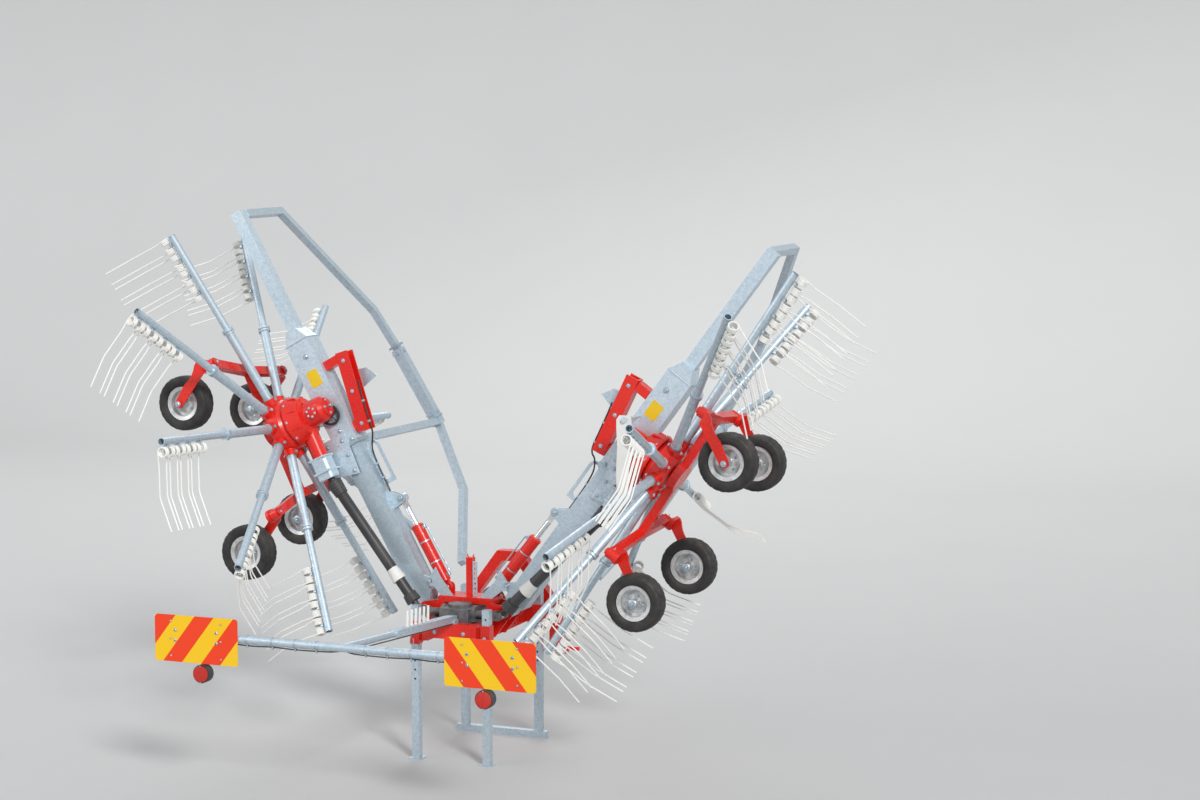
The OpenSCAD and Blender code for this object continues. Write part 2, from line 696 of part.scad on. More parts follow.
module rim(side, n) color("silver") at_wheel(side, n) rotate([90, 0, 0]) rotate_extrude($fn = 72) {
  r = rim_d / 2;
  b = tyre_w / 2;
  polygon([[wheel_axle_d / 2 + run_gap, -b], [28, -b], [28, -14], [r - 30, -22], [r - 14, -b + 22],
           [r + 10, -b + 16], [r + 10, -b + 24], [r, -b + 24], [r, b - 24],
           [r + 10, b - 24], [r + 10, b - 16], [r - 14, b - 22], [r - 14, 0],
           [r - 30, -10], [28, 2], [28, b], [wheel_axle_d / 2 + run_gap, b]]);
}

module tyre(side, n) color(black) at_wheel(side, n) rotate([90, 0, 0]) rotate_extrude($fn = 96) {
  r = rim_d / 2;
  t = tyre_d / 2;
  b = tyre_w / 2;
  groove = 7;
  difference() {
    polygon([[r, -b + 24], [r + 10, -b + 24], [r + 12, -b + 12], [r + 30, -b + 2], [t - 36, -b],
             [t - 14, -b + 8], [t - 4, -b + 24], [t, -b + 44], [t, b - 44], [t - 4, b - 24],
             [t - 14, b - 8], [t - 36, b], [r + 30, b - 2], [r + 12, b - 12], [r + 10, b - 24],
             [r, b - 24]]);
    for (z = [-b + 32, -11, 11, b - 32]) translate([t - groove, z - 3]) square([groove + 5, 6]);
  }
}

// Fold cylinder, from its base pin to the rod's eye
eye_u = lug_u * cos(arm_droop) + lug_w * sin(arm_droop);
eye_up = lug_w * cos(arm_droop) - lug_u * sin(arm_droop);
function eye_x(side) = out_x(side, eye_u, eye_up) + pivot_x - cyl_base[0];
function eye_z(side) = out_z(side, eye_u, eye_up) + pivot_z - cyl_base[1];
barrel_d = 80;
barrel_len = 440;
barrel_start = 42;
rod_d = 40;
rod_tail = 120;
neck_len = 84;
module on_cylinder(side) place() flip(side) translate([cyl_base[0], cyl_y, cyl_base[1]])
  rotate([0, atan2(eye_x(side), eye_z(side)), 0]) children();

module fold_barrel(side) color(red) on_cylinder(side) difference() {
  union() {
    bar_y(base_eye_d - 10, -base_eye_w / 2, base_eye_w / 2);
    translate([-26, -base_eye_w / 2, 0]) cube([52, base_eye_w, barrel_start + 2]);
    translate([0, 0, barrel_start]) cylinder(d = barrel_d, h = barrel_len - barrel_start, $fn = 64);
    translate([0, 0, barrel_len - 1]) cylinder(d = barrel_d - 12, h = 21, $fn = 64);
  }
  bar_y(cyl_pin_d + 2 * run_gap, -50, 50);
  translate([0, 0, rod_tail - 10]) cylinder(d = rod_d + 2 * run_gap, h = barrel_len, $fn = 64);
}

module fold_rod(side) color("silver") on_cylinder(side) {
  reach = norm([eye_x(side), eye_z(side)]);
  translate([0, 0, rod_tail]) cylinder(d = rod_d, h = reach - rod_tail - neck_len + 6, $fn = 64);
  translate([0, 0, reach]) difference() {
    union() {
      bar_y(eye_d, -eye_w / 2, eye_w / 2);
      translate([-18, -eye_w / 2, -neck_len]) cube([36, eye_w, neck_len - 20]);
    }
    bar_y(cyl_pin_d, -50, 50);
  }
}

// Rotor hub, tine arms and tines
hub_low = 440;
hub_top = dome_low + 6;
socket_d = 84;
socket_end = 215;
tube_start = 172;
module each_arm(side) for (i = [0 : arm_count - 1])
  on_rotor(side) rotate(phase(side) + i * 360 / arm_count) children();

module rotor_hub(side) color(red) difference() {
  union() {
    on_rotor(side) rotate_extrude($fn = 96)
      polygon([[axle_d / 2 + 0.3, -hub_low], [120, -hub_low], [172, -hub_low + 25], [182, -arm_level],
               [172, -hub_top - 24], [150, -hub_top], [axle_d / 2 + 0.3, -hub_top]]);
    each_arm(side) translate([120, 0, -arm_level]) bar_x(socket_d, 0, socket_end - 120);
  }
  each_arm(side) translate([tube_start, 0, -arm_level]) bar_x(inner_d + 0.4, 0, 200);
}

module tine_arms(side) color(zinc) each_arm(side) translate([0, 0, -arm_level]) difference() {
  union() {
    bar_x(inner_d, tube_start, collar_r + 4);
    bar_x(inner_d + 18, collar_r, collar_r + 14);
    bar_x(inner_d + 18, collar_r + 18, collar_r + 32);
    bar_x(outer_d, collar_r, rotor_r);
  }
  bar_x(outer_d - 8, rotor_r - 90, rotor_r + 1);
}

// Turn of the tines about their arm as the cam track sets it: angle round the rotor, turn
cam_track = [[0, 0], [198, 0], [217, 25], [240, 65], [290, 68], [325, 25], [340, 0], [360, 0]];
function cam_turn(a) = lookup(a - 360 * floor(a / 360), cam_track);

// A double tine: two coils beside the arm tube, the clip between them and two legs with a knee
coil_wall = wire_d + 2;
coil_mean = (coil_d - coil_wall) / 2;
coil_len = 34;
clip_w = 16;
module tine() {
  translate([0, 0, -coil_drop]) {
    for (s = [-1, 1]) {
      rotate([0, 90, 0]) rotate_extrude($fn = 64)
        translate([coil_d / 2 - coil_wall, s > 0 ? leg_gap / 2 + wire_d - coil_len : -leg_gap / 2 - wire_d])
          square([coil_wall, coil_len]);
      translate([s * leg_gap / 2, coil_mean, 0]) {
        translate([0, 0, -wire_upper]) cylinder(d = wire_d, h = wire_upper, $fn = 32);
        translate([0, 0, -wire_upper]) rotate([-wire_bend, 0, 0]) translate([0, 0, -wire_lower])
          cylinder(d = wire_d, h = wire_lower + 2, $fn = 32);
      }
    }
    translate([0, 0, coil_mean]) bar_x(wire_d, -leg_gap / 2 + coil_len / 2, leg_gap / 2 - coil_len / 2);
  }
  span([-clip_w / 2, -15, -coil_drop + coil_mean - 8], [clip_w / 2, 15, -outer_d / 2 - 0.3]);
}

module tines(side) color("white") for (i = [0 : arm_count - 1]) {
  a = phase(side) + i * 360 / arm_count;
  on_rotor(side) translate([0, 0, -arm_level]) rotate(a) rotate([-cam_turn(a), 0, 0])
    for (k = [0 : tine_count - 1]) translate([rotor_r - tine_first - k * tine_pitch, 0, 0]) tine();
}

headstock();
centre_frame();
centre_gearbox();
lock_hooks();
guide_post();
light_arm();
warning_boards();
rear_lamps();
parking_leg(LEFT);  // leg_left
parking_leg(RIGHT);  // leg_right
front_stand();
arm_beam(LEFT);  // arm_beam_left
arm_head(LEFT);  // arm_head_left
guard(LEFT);  // guard_left
drive_shaft(LEFT);  // drive_shaft_left
gearbox(LEFT);  // gearbox_left
setting_channel(LEFT);  // setting_channel_left
undercarriage(LEFT);  // undercarriage_left
fold_barrel(LEFT);  // fold_barrel_left
fold_rod(LEFT);  // fold_rod_left
rotor_hub(LEFT);  // rotor_hub_left
tine_arms(LEFT);  // tine_arms_left
tines(LEFT);  // tines_left
arm_beam(RIGHT);  // arm_beam_right
arm_head(RIGHT);  // arm_head_right
guard(RIGHT);  // guard_right
drive_shaft(RIGHT);  // drive_shaft_right
gearbox(RIGHT);  // gearbox_right
setting_channel(RIGHT);  // setting_channel_right
undercarriage(RIGHT);  // undercarriage_right
fold_barrel(RIGHT);  // fold_barrel_right
fold_rod(RIGHT);  // fold_rod_right
rotor_hub(RIGHT);  // rotor_hub_right
tine_arms(RIGHT);  // tine_arms_right
tines(RIGHT);  // tines_right
castor(LEFT, 1);  // castor_left_1
castor(LEFT, 2);  // castor_left_2
castor(LEFT, 3);  // castor_left_3
castor(LEFT, 4);  // castor_left_4
castor(RIGHT, 1);  // castor_right_1
castor(RIGHT, 2);  // castor_right_2
castor(RIGHT, 3);  // castor_right_3
castor(RIGHT, 4);  // castor_right_4
rim(LEFT, 1);  // rim_left_1
rim(LEFT, 2);  // rim_left_2
rim(LEFT, 3);  // rim_left_3
rim(LEFT, 4);  // rim_left_4
rim(RIGHT, 1);  // rim_right_1
rim(RIGHT, 2);  // rim_right_2
rim(RIGHT, 3);  // rim_right_3
rim(RIGHT, 4);  // rim_right_4
tyre(LEFT, 1);  // tyre_left_1
tyre(LEFT, 2);  // tyre_left_2
tyre(LEFT, 3);  // tyre_left_3
tyre(LEFT, 4);  // tyre_left_4
tyre(RIGHT, 1);  // tyre_right_1
tyre(RIGHT, 2);  // tyre_right_2
tyre(RIGHT, 3);  // tyre_right_3
tyre(RIGHT, 4);  // tyre_right_4
flap();  // flap_right
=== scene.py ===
# Twin rotor hay rake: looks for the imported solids, in metres, in the solids' own frame.
import math
import bpy
import numpy as np
from mathutils import Matrix


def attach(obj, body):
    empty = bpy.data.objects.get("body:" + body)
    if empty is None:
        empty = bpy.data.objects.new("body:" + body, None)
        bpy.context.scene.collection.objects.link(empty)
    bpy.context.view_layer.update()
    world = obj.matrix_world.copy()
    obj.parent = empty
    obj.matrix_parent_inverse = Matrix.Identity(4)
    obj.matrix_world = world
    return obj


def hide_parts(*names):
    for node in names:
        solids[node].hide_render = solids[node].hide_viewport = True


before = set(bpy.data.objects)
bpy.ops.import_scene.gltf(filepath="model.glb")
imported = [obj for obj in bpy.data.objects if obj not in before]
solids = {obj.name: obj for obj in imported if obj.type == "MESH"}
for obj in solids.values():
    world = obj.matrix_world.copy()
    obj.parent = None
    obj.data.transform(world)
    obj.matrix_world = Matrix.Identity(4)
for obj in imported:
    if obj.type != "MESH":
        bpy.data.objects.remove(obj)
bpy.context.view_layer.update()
print("solids loaded:", len(solids))

# Places that every piece shares, as in the part's source
machine = {
    "middle": (-0.1609, 0.1505),           # centre plane and fold pins, in x and y
    "pinX": 0.285, "pinZ": 0.950,          # fold pins
    "fold": {"left": 25.4, "right": 33.5}, # degrees from upright
    "droop": 3.4,                          # arm below the rotor plane
    "rotorOut": 1.470, "rotorBack": 0.170, "armLevel": 0.390,
    "armCount": 10, "phase": {"left": -15.5, "right": 1.0},
    "kings": ((0.530, -0.400, -1), (0.410, 0.400, 1), (-0.410, 0.400, 1), (-0.530, -0.400, 1)),
    "trail": 0.150, "axleLevel": -0.770,
    "lightsBack": 1.800, "lightsUp": 1.040,
}
sideSign = {"left": -1, "right": 1}
midX, midY = machine["middle"]


# Local frames: an origin and three rows, the directions of the local axes
def turnRows(axis, degrees):
    c, s = math.cos(math.radians(degrees)), math.sin(math.radians(degrees))
    rows = {"x": [[1, 0, 0], [0, c, s], [0, -s, c]],
            "y": [[c, 0, -s], [0, 1, 0], [s, 0, c]],
            "z": [[c, s, 0], [-s, c, 0], [0, 0, 1]]}
    return np.array(rows[axis], float)


def shifted(base, offset, axis=None, degrees=0.0):
    origin = base[0] + np.asarray(offset, float) @ base[1]
    return origin, (turnRows(axis, degrees) @ base[1] if axis else base[1])


def turned(base, axis, degrees):
    return shifted(base, (0, 0, 0), axis, degrees)


def along(base, points):
    # points of a local frame, in the machine's own
    return base[0] + np.asarray(points, float) @ base[1]


home = (np.zeros(3), np.eye(3))
machineFrame = (np.array([midX, midY, 0.0]), np.eye(3))


def facingBack(x, y, z):
    # z of the frame points backwards
    return shifted(machineFrame, (x, y, z), "x", 90)


def facingFront(x, y, z):
    return shifted(machineFrame, (x, y, z), "x", -90)


def unitFrame(side):
    s, f = sideSign[side], math.radians(machine["fold"][side])
    rows = np.array([[s * math.sin(f), 0, math.cos(f)], [0, 1, 0], [-s * math.cos(f), 0, math.sin(f)]])
    return np.array([midX + s * machine["pinX"], midY, machine["pinZ"]]), rows


def beamFrame(side):
    return turned(unitFrame(side), "y", machine["droop"])


def rotorFrame(side):
    return shifted(unitFrame(side), (machine["rotorOut"], -machine["rotorBack"], 0))


def tineArmFrames(side):
    # one frame on each tine arm, with its angle: x out along it, z up
    hub = shifted(rotorFrame(side), (0, 0, -machine["armLevel"]))
    angles = machine["phase"][side] + 360 / machine["armCount"] * np.arange(machine["armCount"])
    return [(turned(hub, "z", angle), angle) for angle in angles]


def eachSide(add, stage):
    for side in sideSign:
        add(side)
    print(stage)


# Shapes: points, and faces kept in rows by their number of corners and material place
def grid(points, wrapU=False, wrapV=False, caps=False, place=0):
    # quads between neighbours of a grid of points, with the last joined to the first where it wraps
    n, m = points.shape[:2]
    i = np.arange(n if wrapU else n - 1)[:, None]
    j = np.arange(m if wrapV else m - 1)[None, :]
    i2, j2 = (i + 1) % n, (j + 1) % m
    quads = np.stack([i * m + j, i2 * m + j, i2 * m + j2, i * m + j2], -1).reshape(-1, 4)
    faces = {(4, place): quads}
    if caps:
        ends = np.stack([np.arange(m), (n - 1) * m + np.arange(m)[::-1]])
        faces[(m, place)] = np.concatenate([quads, ends]) if m == 4 else ends
    return outward({"points": points.reshape(-1, 3).astype(float), "faces": faces})


def outward(shape):
    # a closed shape whose signed volume is below nought has its faces turned round
    volume, p = 0.0, shape["points"]
    p = p - p.mean(0)
    for (corners, _), rows in shape["faces"].items():
        for k in range(1, corners - 1):
            volume += np.einsum("ij,ij->", p[rows[:, 0]], np.cross(p[rows[:, k]], p[rows[:, k + 1]]))
    if volume < 0:
        shape["faces"] = {key: rows[:, ::-1] for key, rows in shape["faces"].items()}
    return shape


def joined(shapes):
    faces, start = {}, 0
    for shape in shapes:
        for key, rows in shape["faces"].items():
            faces.setdefault(key, []).append(rows + start)
        start += len(shape["points"])
    return {"points": np.concatenate([s["points"] for s in shapes]),
            "faces": {key: np.concatenate(rows) for key, rows in faces.items()}}


def put(shape, *frames):
    # copies of a shape, one in each local frame; a mirrored frame turns the faces round
    origins = np.array([f[0] for f in frames])
    rows = np.array([f[1] for f in frames])
    points = origins[:, None, :] + np.einsum("nj,kjc->knc", shape["points"], rows)
    count, size = len(frames), len(shape["points"])
    flip = np.linalg.det(rows[0]) < 0
    faces = {}
    for (corners, place), quads in shape["faces"].items():
        quads = quads[:, ::-1] if flip else quads
        faces[(corners, place)] = (quads[None] + np.arange(count)[:, None, None] * size).reshape(-1, corners)
    return {"points": points.reshape(-1, 3), "faces": faces}


def scatter(shape, base, places, axis=None, degrees=0.0):
    # copies at several places of one frame, all turned alike
    return put(shape, *[shifted(base, place, axis, degrees) for place in places])


def moved(shape, offset, axis=None, degrees=0.0):
    return scatter(shape, home, [offset], axis, degrees)


def circle(radius, count, level=0.0, start=0.0):
    a = start + 2 * np.pi * np.arange(count) / count
    return np.column_stack([radius * np.cos(a), radius * np.sin(a), np.full(count, level)])


def rectangle(w, h):
    return np.array([(w, -h), (w, h), (-w, h), (-w, -h)])


def cutCorners(x0, y0, x1, y1, e):
    # a rectangle with its corners cut off
    return np.array([(x0 + e, y0), (x1 - e, y0), (x1, y0 + e), (x1, y1 - e),
                     (x1 - e, y1), (x0 + e, y1), (x0, y1 - e), (x0, y0 + e)])


def tube(path, radius, corners=10, up=(0, 0, 1), place=0, loop=False):
    # a circle carried along a path: centre + radius * (cos t * side + sin t * other side)
    path = np.asarray(path, float)
    run = np.roll(path, -1, 0) - np.roll(path, 1, 0) if loop else np.gradient(path, axis=0)
    run /= np.linalg.norm(run, axis=1)[:, None]
    one = np.cross(run, np.asarray(up, float))
    one /= np.linalg.norm(one, axis=1)[:, None]
    two = np.cross(run, one)
    t = 2 * np.pi * np.arange(corners) / corners
    r = np.broadcast_to(np.asarray(radius, float), len(path))[:, None, None]
    ring = np.cos(t)[None, :, None] * one[:, None] + np.sin(t)[None, :, None] * two[:, None]
    return grid(path[:, None] + r * ring, wrapU=loop, wrapV=True, caps=not loop, place=place)


def lathe(profile, corners=32, place=0, loop=False):
    # a profile of (height, radius) turned about z: (radius cos t, radius sin t, height)
    profile = np.asarray(profile, float)
    t = 2 * np.pi * np.arange(corners) / corners
    points = np.stack([profile[:, 1, None] * np.cos(t), profile[:, 1, None] * np.sin(t),
                       np.broadcast_to(profile[:, 0, None], (len(profile), corners))], -1)
    return grid(points, wrapU=loop, wrapV=True, caps=not loop, place=place)


def hoop(z0, z1, inner, outer, corners=24, place=0):
    return lathe([(z0, inner), (z1, inner), (z1, outer), (z0, outer)], corners, place, loop=True)


def block(low, high, edge=0.002, place=0):
    # a box with its edges cut off: eight-cornered rings, smaller at both ends
    (x0, y0, z0), (x1, y1, z1) = low, high
    rings = [np.column_stack([cutCorners(x0 + inset, y0 + inset, x1 - inset, y1 - inset, edge), np.full(8, z)])
             for inset, z in ((edge, z0), (0, z0 + edge), (0, z1 - edge), (edge, z1))]
    return grid(np.array(rings), wrapV=True, caps=True, place=place)


def stacked(outline, steps, **ends):
    # a flat outline carried along z: steps of (share of its size, height)
    outline = np.asarray(outline, float)
    rings = [np.column_stack([outline * share, np.full(len(outline), z)]) for share, z in steps]
    return grid(np.array(rings), wrapV=True, **ends)


def slab(outline, z0, z1, place=0):
    return stacked(outline, ((1, z0), (1, z1)), caps=True, place=place)


def bolt(size=0.012, shank=0.0, washer=True, place=0):
    # a hexagon head on a washer, with its underside at z = 0; shank is what stands out beyond it as a nut's thread
    flat = size * 0.95
    parts = [lathe([(0.002, flat), (0.002 + size * 0.55, flat), (0.002 + size * 0.66, flat * 0.86)], 6, place)]
    if washer:
        parts.append(lathe([(0, size * 1.25), (0.002, size * 1.25)], 12, place))
    if shank:
        parts.append(lathe([(0, size * 0.5), (size * 0.66 + shank, size * 0.5)], 8, place))
    return joined(parts)


def smoothPath(points, steps=8):
    # a Catmull-Rom curve through the points
    p = np.asarray(points, float)
    p = np.vstack([2 * p[0] - p[1], p, 2 * p[-1] - p[-2]])
    t = np.linspace(0, 1, steps, endpoint=False)[:, None]
    a, b, c, d = p[:-3, None], p[1:-2, None], p[2:-1, None], p[3:, None]
    curve = 0.5 * (2 * b + (c - a) * t + (2 * a - 5 * b + 4 * c - d) * t ** 2 + (3 * b - a - 3 * c + d) * t ** 3)
    return np.vstack([curve.reshape(-1, 3), p[-2]])


def linked(name, data):
    thing = bpy.data.objects.new(name, data)
    bpy.context.scene.collection.objects.link(thing)
    return thing


def aimed(name, data, spot, ahead):
    # looks ahead along its own -z, with its x level
    ahead = ahead / np.linalg.norm(ahead)
    across = np.cross(ahead, (0, 0, 1))
    across /= np.linalg.norm(across)
    rows = np.eye(4)
    rows[:3] = np.column_stack([across, np.cross(across, ahead), -ahead, spot])
    thing = linked(name, data)
    thing.matrix_world = Matrix(rows.tolist())
    return thing


def makePiece(name, shape, body, materials, stands=(), bend=38):
    # the mesh is filled straight from the arrays
    mesh = bpy.data.meshes.new(name)
    points, faces = shape["points"], shape["faces"]
    totals = np.concatenate([np.full(len(rows), key[0]) for key, rows in faces.items()])
    places = np.concatenate([np.full(len(rows), key[1]) for key, rows in faces.items()])
    corners = np.concatenate([rows.ravel() for rows in faces.values()])
    mesh.vertices.add(len(points))
    mesh.vertices.foreach_set("co", points.ravel())
    mesh.loops.add(len(corners))
    mesh.loops.foreach_set("vertex_index", corners)
    mesh.polygons.add(len(totals))
    mesh.polygons.foreach_set("loop_start", np.concatenate([[0], np.cumsum(totals)[:-1]]))
    mesh.update(calc_edges=True)
    for material in materials:
        mesh.materials.append(material)
    mesh.polygons.foreach_set("material_index", places)
    mesh.polygons.foreach_set("use_smooth", np.ones(len(totals), bool))
    mesh.validate()
    mesh.set_sharp_from_angle(angle=math.radians(bend))
    piece = linked(name, mesh)
    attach(piece, body)
    if stands:
        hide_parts(*stands)


# Camera at the photograph's angle
view = {"from": (5.8031, -12.8415, 3.677), "turn": 21.27, "down": 5.43, "lens": 66.295}


def addCamera():
    a, p = math.radians(view["turn"]), math.radians(view["down"])
    ahead = np.array([-math.sin(a) * math.cos(p), math.cos(a) * math.cos(p), -math.sin(p)])
    data = bpy.data.cameras.new("camera")
    data.sensor_width, data.lens = 36, view["lens"]
    data.clip_start, data.clip_end = 0.1, 300
    bpy.context.scene.camera = aimed("camera", data, view["from"], ahead)


addCamera()
print("camera set")


# Shader node groups that several finishes share
def newGroup(name, inputs, *outputs):
    tree = bpy.data.node_groups.new(name, "ShaderNodeTree")
    for label, value in inputs.items():
        tree.interface.new_socket(label, in_out="INPUT", socket_type="NodeSocketFloat").default_value = value
    for label in outputs:
        tree.interface.new_socket(label, in_out="OUTPUT", socket_type="NodeSocketFloat")
    return tree, tree.nodes.new("NodeGroupInput").outputs, tree.nodes.new("NodeGroupOutput").inputs


def node(tree, kind, links=None, **settings):
    made = tree.nodes.new(kind)
    for key, value in settings.items():
        setattr(made, key, value)
    for socket, source in (links or {}).items():
        if isinstance(source, bpy.types.NodeSocket):
            tree.links.new(source, made.inputs[socket])
        else:
            made.inputs[socket].default_value = source
    return made


def maths(tree, operation, a, b=0.0, clamp=False):
    return node(tree, "ShaderNodeMath", {0: a, 1: b}, operation=operation, use_clamp=clamp).outputs[0]


def spread(tree, value, low, high, to=(0.0, 1.0)):
    # what lies between low and high, drawn out over a new range
    return node(tree, "ShaderNodeMapRange", {"Value": value, "From Min": low, "From Max": high,
                                             "To Min": to[0], "To Max": to[1]}).outputs[0]


def objectPlace(tree):
    return node(tree, "ShaderNodeTexCoord").outputs["Object"]


def noise(tree, scale, detail=4.0, rough=0.55):
    return node(tree, "ShaderNodeTexNoise", {"Vector": objectPlace(tree), "Scale": scale, "Detail": detail,
                                             "Roughness": rough}).outputs["Fac"]


def mixed(tree, share, a, b):
    a, b = ((*v, 1.0) if isinstance(v, tuple) else v for v in (a, b))
    return node(tree, "ShaderNodeMix", {0: share, 6: a, 7: b}, data_type="RGBA").outputs[2]


def buildEdgeHighlightWear():
    # where the rounded normal leaves the flat one there is an edge; noise breaks it up. The finishes lay a lighter
    # colour there: painted edge highlight, and edge wear
    tree, given, out = newGroup("edgeHighlightWear", {"Width": 0.004, "Amount": 0.5, "Scale": 30.0}, "Mask")
    rounded = node(tree, "ShaderNodeBevel", {"Radius": given["Width"]}, samples=4).outputs["Normal"]
    flat = node(tree, "ShaderNodeNewGeometry").outputs["Normal"]
    same = node(tree, "ShaderNodeVectorMath", {0: rounded, 1: flat}, operation="DOT_PRODUCT").outputs["Value"]
    edge = spread(tree, maths(tree, "SUBTRACT", 1.0, same), 0.01, 0.12)
    chipAndHighlight = spread(tree, noise(tree, given["Scale"], 5.0, 0.7), 0.42, 0.62)
    tree.links.new(maths(tree, "MULTIPLY", maths(tree, "MULTIPLY", edge, chipAndHighlight), given["Amount"], True), out["Mask"])
    return tree


def buildDust():
    # dust lies on what faces up, thicker towards the floor, in soft patches
    tree, given, out = newGroup("fieldDust", {"Amount": 0.4, "Scale": 3.0, "Height": 1.2}, "Mask")
    normal, height = (node(tree, "ShaderNodeSeparateXYZ", {0: source}).outputs["Z"] for source in
                      (node(tree, "ShaderNodeNewGeometry").outputs["Normal"], objectPlace(tree)))
    low = maths(tree, "SUBTRACT", 1.0, maths(tree, "DIVIDE", height, given["Height"]), True)
    patch = spread(tree, noise(tree, given["Scale"], 6.0, 0.62), 0.40, 0.72)
    facing = spread(tree, normal, -0.2, 1.0, (0.25, 1.0))
    share = maths(tree, "ADD", maths(tree, "MULTIPLY", low, 0.6), 0.4)
    shown = maths(tree, "MULTIPLY", maths(tree, "MULTIPLY", patch, facing), share)
    tree.links.new(maths(tree, "MULTIPLY", shown, given["Amount"], True), out["Mask"])
    return tree


def buildSpangle():
    # zinc crystals: cells that are each a little lighter or darker, with soft streaks over them
    tree, given, out = newGroup("zincSpangle", {"Scale": 70.0}, "Tone", "Height")
    cells = node(tree, "ShaderNodeTexVoronoi", {"Vector": objectPlace(tree), "Scale": given["Scale"]})
    cell = node(tree, "ShaderNodeSeparateColor", {0: cells.outputs["Color"]}).outputs[0]
    cloud = noise(tree, 5.0, 5.0, 0.6)
    tone = maths(tree, "ADD", maths(tree, "MULTIPLY", cell, 0.55), maths(tree, "MULTIPLY", cloud, 0.45))
    tree.links.new(tone, out["Tone"])
    tree.links.new(maths(tree, "ADD", cell, noise(tree, 260.0, 3.0)), out["Height"])
    return tree


def buildPeel():
    # the fine waviness of sprayed paint and moulded plastic
    tree, given, out = newGroup("orangePeel", {"Scale": 220.0}, "Height", "Tone")
    tree.links.new(noise(tree, given["Scale"], 2.0), out["Height"])
    tree.links.new(noise(tree, 2.2, 4.0), out["Tone"])
    return tree


groups = {"edge": buildEdgeHighlightWear(), "dust": buildDust(), "spangle": buildSpangle(), "peel": buildPeel()}


def use(tree, name, **values):
    made = node(tree, "ShaderNodeGroup")
    made.node_tree = groups[name]
    for key, value in values.items():
        made.inputs[key].default_value = value
    return made.outputs


def newMaterial(name, rough=0.5, metal=0.0, **sockets):
    material = bpy.data.materials.new(name)
    material.use_nodes = True
    tree = material.node_tree
    shader = tree.nodes["Principled BSDF"]
    shader.inputs["Roughness"].default_value = rough
    shader.inputs["Metallic"].default_value = metal
    for key, value in sockets.items():
        shader.inputs[key.replace("_", " ")].default_value = value
    return material, tree, shader.inputs


def bumped(tree, sockets, height, strength, distance):
    bump = node(tree, "ShaderNodeBump", {"Height": height, "Strength": strength, "Distance": distance})
    tree.links.new(bump.outputs[0], sockets["Normal"])


def layered(tree, sockets, colour, *layers):
    # colours laid over one another, each where its mask shows it
    for mask, over in layers:
        colour = mixed(tree, mask, colour, over)
    tree.links.new(colour, sockets["Base Color"])


finishes = {
    "redPaint": {"colour": (0.70, 0.009, 0.004), "faded": (0.76, 0.024, 0.010), "chipAndHighlight": (0.80, 0.22, 0.16),
                 "dust": (0.42, 0.30, 0.20)},
    # the zinc tones are tinted blue as a painted reflection of the sky
    "galvanised": {"light": (0.60, 0.69, 0.75), "dark": (0.39, 0.49, 0.56), "stain": (0.34, 0.34, 0.32)},
    "tineWire": {"colour": (0.88, 0.87, 0.83), "worn": (0.62, 0.60, 0.55)},
    "castGrey": {"colour": (0.17, 0.18, 0.19), "dark": (0.06, 0.06, 0.065)},
    "rimSilver": {"colour": (0.66, 0.67, 0.68), "dark": (0.36, 0.35, 0.33)},
    "rubber": {"colour": (0.016, 0.016, 0.017), "dustAndHighlight": (0.12, 0.105, 0.085)},
    "stripes": {"yellow": (0.92, 0.56, 0.006), "red": (0.86, 0.045, 0.006), "width": 0.13, "slope": 52.0,
                "start": 0.681},
}
dustColour = (0.45, 0.36, 0.25)


def makeRedPaint():
    f = finishes["redPaint"]
    material, tree, sockets = newMaterial("redPaint", 0.28, Coat_Weight=0.20, Coat_Roughness=0.12,
                                          Specular_IOR_Level=0.4)
    peel, edge, dust = use(tree, "peel"), use(tree, "edge", Width=0.0035, Amount=0.30), use(tree, "dust", Amount=0.16)
    # the edge layer is painted highlight and chipped paint: a lighter pinkish red along the edges
    layered(tree, sockets, f["colour"], (spread(tree, peel["Tone"], 0.35, 0.75), f["faded"]),
            (edge["Mask"], f["chipAndHighlight"]), (dust["Mask"], f["dust"]))
    tree.links.new(maths(tree, "ADD", spread(tree, noise(tree, 40.0, 5.0), 0.3, 0.8, (0.22, 0.40)),
                         maths(tree, "MULTIPLY", dust["Mask"], 0.4)), sockets["Roughness"])
    bumped(tree, sockets, peel["Height"], 0.10, 0.0006)
    return material


def makeZinc(name="galvanised", shift=1.0, metal=0.55):
    f = finishes["galvanised"]
    # light and dark zinc tones mixed by the spangle; the blue in both is painted sky reflection
    light, dark = (tuple(v * shift for v in f[k]) for k in ("light", "dark"))
    material, tree, sockets = newMaterial(name, 0.42, metal)
    spangle, dust = use(tree, "spangle"), use(tree, "dust", Amount=0.22)
    edge = use(tree, "edge", Width=0.003, Amount=0.5)
    streak = spread(tree, noise(tree, 14.0, 6.0, 0.65), 0.62, 0.80, (0.0, 0.45))
    # the edge layer lightens the zinc along its edges: painted highlight and rubbed edges
    layered(tree, sockets, dark, (spangle["Tone"], light), (edge["Mask"], tuple(min(v * 1.12, 0.86) for v in light)),
            (streak, f["stain"]), (dust["Mask"], dustColour))
    tree.links.new(spread(tree, spangle["Tone"], 0.2, 0.8, (0.50, 0.34)), sockets["Roughness"])
    bumped(tree, sockets, spangle["Height"], 0.12, 0.0008)
    return material


def makeTineWire():
    f = finishes["tineWire"]
    material, tree, sockets = newMaterial("tineWire", 0.38, Coat_Weight=0.15, Coat_Roughness=0.2)
    worn = spread(tree, noise(tree, 55.0, 5.0, 0.7), 0.56, 0.74, (0.0, 0.7))
    layered(tree, sockets, f["colour"], (worn, f["worn"]),
            (use(tree, "dust", Amount=0.2, Scale=9.0)["Mask"], dustColour))
    bumped(tree, sockets, noise(tree, 400.0, 2.0), 0.15, 0.0004)
    return material


